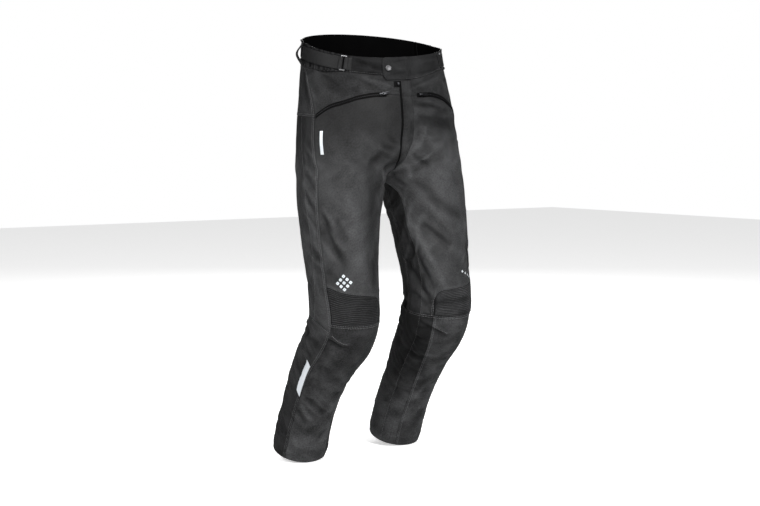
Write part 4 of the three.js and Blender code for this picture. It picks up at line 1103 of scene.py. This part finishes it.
def makeFly():
    cutPiece("fly_flap_fine", "R", [flyFreeEdge, 0, flySewnEdge], [flap["top"], flap["foot"]],
             fine=([True, False, True], [False, False]), laps="", wall=1.2, lift=flapLift, spacing=(2.5, 4.5),
             material="yokeCloth", middle=True, skip=("middleFront",), soften=0.4)
    cutPiece("fly_zip_fine", "R", [flyEnd["back"], flyEnd["front"]], [flyEnd["top"], flyEnd["foot"]],
             fine=plainEdges, laps="", wall=0.9, lift=lambda *place: flyEnd["lift"], material="zipTape",
             spacing=(1.5, 1.5), soften=0.2, sheet=False)
    cutPiece("fly_tape", "R", [tapeBack, lambda s: flyFreeEdge(s) + flyTape["front"]],
             [flap["top"], flyTape["foot"]], fine=plainEdges, laps="", wall=0.6,
             lift=lambda *place: flyTape["lift"], material="zipTape", spacing=(1.5, 5), middle=True,
             skip=("middleFront",), soften=0.2, replaced=[])


makeFly()
print("fly made")


# Plain prints: a strip below the right pocket, a diamond of spots and a row of spots above the knees
prints = {
    "label": {"u": (0.6212, 0.6365), "s": (3.57, 4.9), "drift": 0.006, "rise": 0.45},
    "diamond": {"u": 0.663, "s": 10.58, "step": 10.6, "size": 6.6},
    "dots": {"u": (0.622, 0.712), "s": (10.77, 10.49), "count": 5, "size": 4.8},
    "lift": 0.35, "wall": 0.5, "cells": 8,
}


def printSpot(name, mark, u, s, size):
    # a rounded square standing on its corner, printed on the cloth
    bm = bmesh.new()
    bmesh.ops.create_grid(bm, x_segments=prints["cells"], y_segments=prints["cells"], size=0.5)
    perU, perS = (float(v) for v in stance(u, s, sides[mark])[4:])
    layer = bm.loops.layers.uv.new("cloth")
    places = np.array([v.co[:2] for v in bm.verts]) * 2
    reach = np.maximum(np.abs(places).max(1), 1e-6)
    pulledIn = (np.abs(places / reach[:, None]) ** 4).sum(1) ** -0.25
    places = places * pulledIn[:, None] * size / 2
    turn = math.radians(45)
    a = places[:, 0] * math.cos(turn) - places[:, 1] * math.sin(turn)
    b = places[:, 0] * math.sin(turn) + places[:, 1] * math.cos(turn)
    point, *_ = clothPoint(u + a / perU, s + b / perS, mark, prints["lift"])
    for vert, place in zip(bm.verts, point):
        vert.co = place * mm
    for face in bm.faces:
        for loop in face.loops:
            loop[layer].uv = loop.vert.co.xz * 1000
    if sides[mark] > 0:
        bmesh.ops.reverse_faces(bm, faces=bm.faces)
    piece = shell(name, meshFrom(bm, name), "reflective", prints["wall"], 0.0, "reflective")
    return dress(piece)


def makePrints():
    label, diamond, dots = prints["label"], prints["diamond"], prints["dots"]
    middle = sum(label["s"]) / 2
    edges = [lambda s, at=at: at + label["drift"] * (middle - s) for at in label["u"]]
    cutPiece("side_print", "R", edges, list(label["s"]), fine=plainEdges, laps="", wall=0.6,
             lift=lambda *place: label["rise"], material="reflective", spacing=(2, 3), soften=0.2,
             replaced=[], sheet=False, lining="reflective")
    perU, perS = (float(v) for v in stance(diamond["u"], diamond["s"], sides["R"])[4:])
    step = diamond["step"] / math.sqrt(2)
    for i in (-1, 0, 1):
        for j in (-1, 0, 1):
            printSpot(f"knee_print_{i + 1}{j + 1}", "R", diamond["u"] + (i - j) * step / perU,
                      diamond["s"] + (i + j) * step / perS, diamond["size"])
    for k in range(dots["count"]):
        part = k / (dots["count"] - 1)
        u, s = (dots[key][0] + (dots[key][1] - dots[key][0]) * part for key in ("u", "s"))
        printSpot(f"knee_dot_{k}", "L", u, s, dots["size"])


makePrints()
print("prints made")


# Webbing and loops: straps of even width along a route of (u, s, height over the cloth)
strap = {"half": 15.0, "thick": 1.4, "rise": 0.7, "start": 0.37}
ring = {"u": 0.728, "s": 0.44, "length": 13.0, "bar": 2.8, "thick": 2.6, "lift": 0.9, "play": 0.4}
loop = {"u": 0.45, "top": 0.03, "fall": 0.92, "half": 6.0, "bulge": 13.0, "wall": 2.0, "rise": 2.3}


def cutCorners(points, rounds):
    for _ in range(rounds):
        a, b = points[:-1], points[1:]
        middle = np.stack([a * 0.75 + b * 0.25, a * 0.25 + b * 0.75], 1).reshape(-1, points.shape[1])
        points = np.concatenate([points[:1], middle, points[-1:]])
    return points


def makeRibbon(name, mark, route, half, wall, alongCloth, material, replaced, edge=0.3):
    side = sides[mark]
    u, s, height = (np.array(c, float) for c in zip(*route))
    point, alongU, alongS, normal, perU, perS = stance(u, s, side)
    way = alongU if alongCloth == "u" else alongS
    over = np.cross(normal, way)
    over /= np.linalg.norm(over, axis=-1, keepdims=True)
    line = cutCorners(np.concatenate([point + normal * height[:, None], over], 1), 2)
    middle, over = line[:, :3], line[:, 3:] / np.linalg.norm(line[:, 3:], axis=-1, keepdims=True)
    ahead = np.gradient(middle, axis=0)
    ahead /= np.linalg.norm(ahead, axis=-1, keepdims=True)
    up = np.cross(ahead, over)
    # even width, with rims that drop a little
    across = half * np.array([-1, -0.97, -0.9, -0.6, -0.3, 0, 0.3, 0.6, 0.9, 0.97, 1])
    drop = edge * (np.abs(across) / half) ** 12
    grid = (middle[:, None] + over[:, None] * across[None, :, None]
            + up[:, None] * (wall / 2 - drop)[None, :, None])
    length = runLength(middle)
    uv = np.stack(np.broadcast_arrays(length[:, None], across[None, :]), -1)
    keep = np.ones((len(middle) - 1, len(across) - 1), bool)
    mesh = clothMesh(name, grid, uv, keep, False)
    piece = shell(name, mesh, material, wall, 0.25, material)
    dress(piece, replaced)
    return piece


def makeAdjusters():
    for mark, side in sides.items():
        perU = float(stance(ring["u"], ring["s"], side)[4])
        over = ring["lift"] + ring["thick"] + ring["play"] + strap["thick"] / 2
        low = strap["rise"] + strap["thick"] / 2
        beside = ring["length"] / 2 - ring["bar"] - strap["thick"] / 2 - 0.6
        # distance from the ring's middle and height over the cloth: flat, over the bar, down through the ring
        turnIn = [(12, low), (8.5, over), (beside + 1, over), (beside, over - 1), (beside, low)]
        freeEnd = ring["u"] - (ring["length"] + 1) / perU
        route = [(u, ring["s"], low) for u in np.linspace(strap["start"], freeEnd, 22)]
        route += [(ring["u"] - distance / perU, ring["s"], rise) for distance, rise in turnIn]
        makeRibbon(f"adjuster_strap_{mark}_fine", mark, route, strap["half"], strap["thick"], "u", "webbing",
                   [f"adjuster_strap_{mark}"])
        held = [*turnIn[::-1], (15, low), (19, low)]
        route = [(ring["u"] + distance / perU, ring["s"], rise) for distance, rise in held]
        makeRibbon(f"strap_anchor_{mark}_fine", mark, route, strap["half"], strap["thick"], "u", "webbing",
                   [f"strap_anchor_{mark}"])
        route = []
        for t in np.linspace(0, 1, 19):
            swell = math.sin(math.pi * t**1.15) ** 1.3 if 0 < t < 1 else 0
            rise = loop["rise"] + loop["wall"] / 2 + loop["bulge"] * swell
            route.append((loop["u"], loop["top"] + loop["fall"] * t, rise))
        makeRibbon(f"belt_loop_{mark}_fine", mark, route, loop["half"], loop["wall"], "s", "bandCloth",
                   [f"belt_loop_{mark}"], 0.2)


makeAdjusters()
print("adjusters made")


# Metal pieces: the solids with their edges rounded
metal = {"sameFace": 1, "bevelFrom": 28, "sharpFrom": 35}  # angles between faces, in degrees


def metalPiece(nodeName, width, material, body="trousers"):
    bm = bmesh.new()
    bm.from_mesh(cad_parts[nodeName].data)
    bmesh.ops.remove_doubles(bm, verts=bm.verts, dist=1e-6)
    bmesh.ops.dissolve_limit(bm, angle_limit=math.radians(metal["sameFace"]), verts=bm.verts, edges=bm.edges)
    least = math.radians(metal["bevelFrom"])
    corners = [e for e in bm.edges if e.is_manifold and e.calc_face_angle() > least]
    bmesh.ops.bevel(bm, geom=corners, offset=width * mm, offset_type="OFFSET", segments=2, profile=0.5,
                    affect="EDGES", material=-1, clamp_overlap=True)
    bmesh.ops.recalc_face_normals(bm, faces=bm.faces)
    mesh = meshFrom(bm, nodeName + "_fine")
    mesh.materials.append(finishes[material])
    shadeSmooth(mesh, metal["sharpFrom"])
    return dress(placeObject(nodeName + "_fine", mesh), [nodeName], body)


for mark in sides:
    metalPiece(f"adjuster_ring_{mark}", 0.6, "steel")
    metalPiece(f"pocket_slider_{mark}", 0.35, "darkSteel")
    metalPiece(f"pocket_pull_{mark}", 0.3, "darkSteel", f"pull_{mark}")
metalPiece("snap", 0.3, "snapSteel")
metalPiece("fly_slider", 0.3, "darkSteel")
print("metal made")


# Stitching: short threads along each seam, on the finished cloth
thread = {"length": 2.9, "pitch": 4.0, "radius": 0.36, "above": 0.12,
          "pale": ("kneeFront", "ribInner", "dart")}


def stitchRow(bm, mark, us, ss, height):
    # threads at even steps along a line of places
    point, _, _, normal, _, _ = clothPoint(us, ss, mark, thread["above"] + height)
    length = runLength(point)
    for at in np.arange(thread["pitch"] / 2, length[-1], thread["pitch"]):
        ends = [Vector([np.interp(at + d, length, point[:, k]) for k in range(3)]) for d in (-0.5, 0.5)]
        up = Vector([np.interp(at, length, normal[:, k]) for k in range(3)]).normalized()
        ahead = (ends[1] - ends[0]).normalized()
        over = up.cross(ahead).normalized()
        turn = Matrix((ahead * thread["length"] / 2, over * thread["radius"], up * thread["radius"]))
        place = Matrix.Translation((ends[0] + ends[1]) / 2 * mm) @ turn.transposed().to_4x4()
        bmesh.ops.create_icosphere(bm, subdivisions=1, radius=mm, matrix=place)


def besideSeam(seam, at, away, mark):
    # places at a set distance beside a seam
    down = seam["runs"] == "down"
    u, s = (seam["line"](at), at) if down else (at, seam["line"](at))
    perU, perS = stance(u, s, sides[mark])[4:]
    slope = np.gradient(u, at) * perU / perS if down else np.gradient(s, at) * perS / perU
    stretch = np.sqrt(1 + slope**2)
    aside, back = away / stretch, away * slope / stretch
    return (u + aside / perU, s - back / perS) if down else (u - back / perU, s + aside / perS)


def makeStitching():
    for mark in sides:
        for seam in seamsOf[mark]:
            if not seam["rows"]:
                continue
            bm = bmesh.new()
            at = np.linspace(seam["start"] + 0.001, seam["end"] - 0.001, 160)
            for away in seam["rows"]:
                u, s = besideSeam(seam, at, away, mark)
                onTab = seam["name"] == "waistFront" and mark == "L"
                stitchRow(bm, mark, u, s, tabLift(u) if onTab else 0.0)
            name = f"stitch_{seam['name']}_{mark}"
            mesh = meshFrom(bm, name)
            material = "paleThread" if seam["name"] in thread["pale"] else "thread"
            mesh.materials.append(finishes[material])
            dress(placeObject(name, mesh))


makeStitching()
print("stitching made")


# Room: a camera like the photograph's, a pale floor, a pale surround and soft light from in front
# aside is the tangent of the angle by which the camera looks past the trousers; angles are in degrees
view = {"eye": (-1.5657, -2.3213, -0.252), "azimuth": -34.0, "aside": 8 / 1137, "down": 5.2, "lens": 53.86}
floorLook = {"half": 9, "below": 0.001, "glow": 0.55, "dark": (0.93, 0.93, 0.93), "light": (0.96, 0.96, 0.96)}
surround = {"seen": 1.0, "shed": 0.06}  # strength of the white world as the camera sees it and as light
topLight = {"power": 0.55, "spread": 70}
lamps = {
    "key": {"at": (0.15, -3.05, 2.07), "size": 0.8, "power": 152},
    "fill": {"at": (-3.16, -0.85, 1.8), "size": 1.4, "power": 100},
    "low": {"at": (-0.9, -2.9, -0.72), "size": 1.2, "power": 20},
    "back": {"at": (1.9, 2.7, 1.4), "size": 2.0, "power": 55},
}
lampAim = (0, 0, -0.45)


def makeCamera():
    azimuth, down = math.radians(view["azimuth"]), math.radians(view["down"])
    ahead = Vector((-math.sin(azimuth), math.cos(azimuth), 0))
    right = Vector((math.cos(azimuth), math.sin(azimuth), 0))
    yaw = math.atan(view["aside"])
    aimed = ahead * math.cos(yaw) + right * math.sin(yaw)
    right = right * math.cos(yaw) - ahead * math.sin(yaw)
    look = aimed * math.cos(down) - Vector((0, 0, math.sin(down)))
    up = right.cross(look)
    camera = placeObject("camera", bpy.data.cameras.new("camera"))
    camera.data.lens = view["lens"]
    camera.data.sensor_width = 36
    camera.matrix_world = Matrix.Translation(view["eye"]) @ Matrix((right, up, -look)).transposed().to_4x4()
    bpy.context.scene.camera = camera


def makeFloor():
    # pale, glowing a little, and left out of reflections so that it casts no haze on the cloth
    low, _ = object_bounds()
    place = Matrix.Translation((0, 0, low.z - floorLook["below"]))
    bm = bmesh.new()
    bmesh.ops.create_grid(bm, x_segments=1, y_segments=1, size=floorLook["half"], matrix=place)
    mesh = meshFrom(bm, "floor")
    mesh.materials.append(plainFinish("floorFinish", floorLook["dark"], floorLook["light"], 0.8, 3))
    shader = mesh.materials[0].node_tree.nodes["Principled BSDF"]
    shader.inputs["Emission Color"].default_value = (1, 1, 1, 1)
    shader.inputs["Emission Strength"].default_value = floorLook["glow"]
    floor = placeObject("floor", mesh)
    floor.visible_glossy = False


def makeSurround():
    world = bpy.data.worlds.new("surround")
    world.use_nodes = True
    tree = world.node_tree
    background = tree.nodes["Background"]
    rays = node(tree, "ShaderNodeLightPath")
    strength = drawOut(tree, rays.outputs["Is Camera Ray"], 0.0, 1.0, surround["shed"], surround["seen"])
    tree.links.new(strength, background.inputs["Strength"])
    background.inputs["Color"].default_value = (1, 1, 1, 1)
    bpy.context.scene.world = world
    bpy.context.scene.view_settings.view_transform = "Standard"


def makeLights():
    sun = bpy.data.lights.new("top", "SUN")
    sun.energy = topLight["power"]
    sun.angle = math.radians(topLight["spread"])
    placeObject("top", sun)
    for name, lamp in lamps.items():
        data = bpy.data.lights.new(name, "AREA")
        data.size = lamp["size"]
        data.energy = lamp["power"]
        light = placeObject(name, data)
        light.location = lamp["at"]
        light.rotation_euler = (Vector(lampAim) - Vector(lamp["at"])).to_track_quat("-Z", "Y").to_euler()


makeCamera()
makeFloor()
makeSurround()
makeLights()
print("room made")
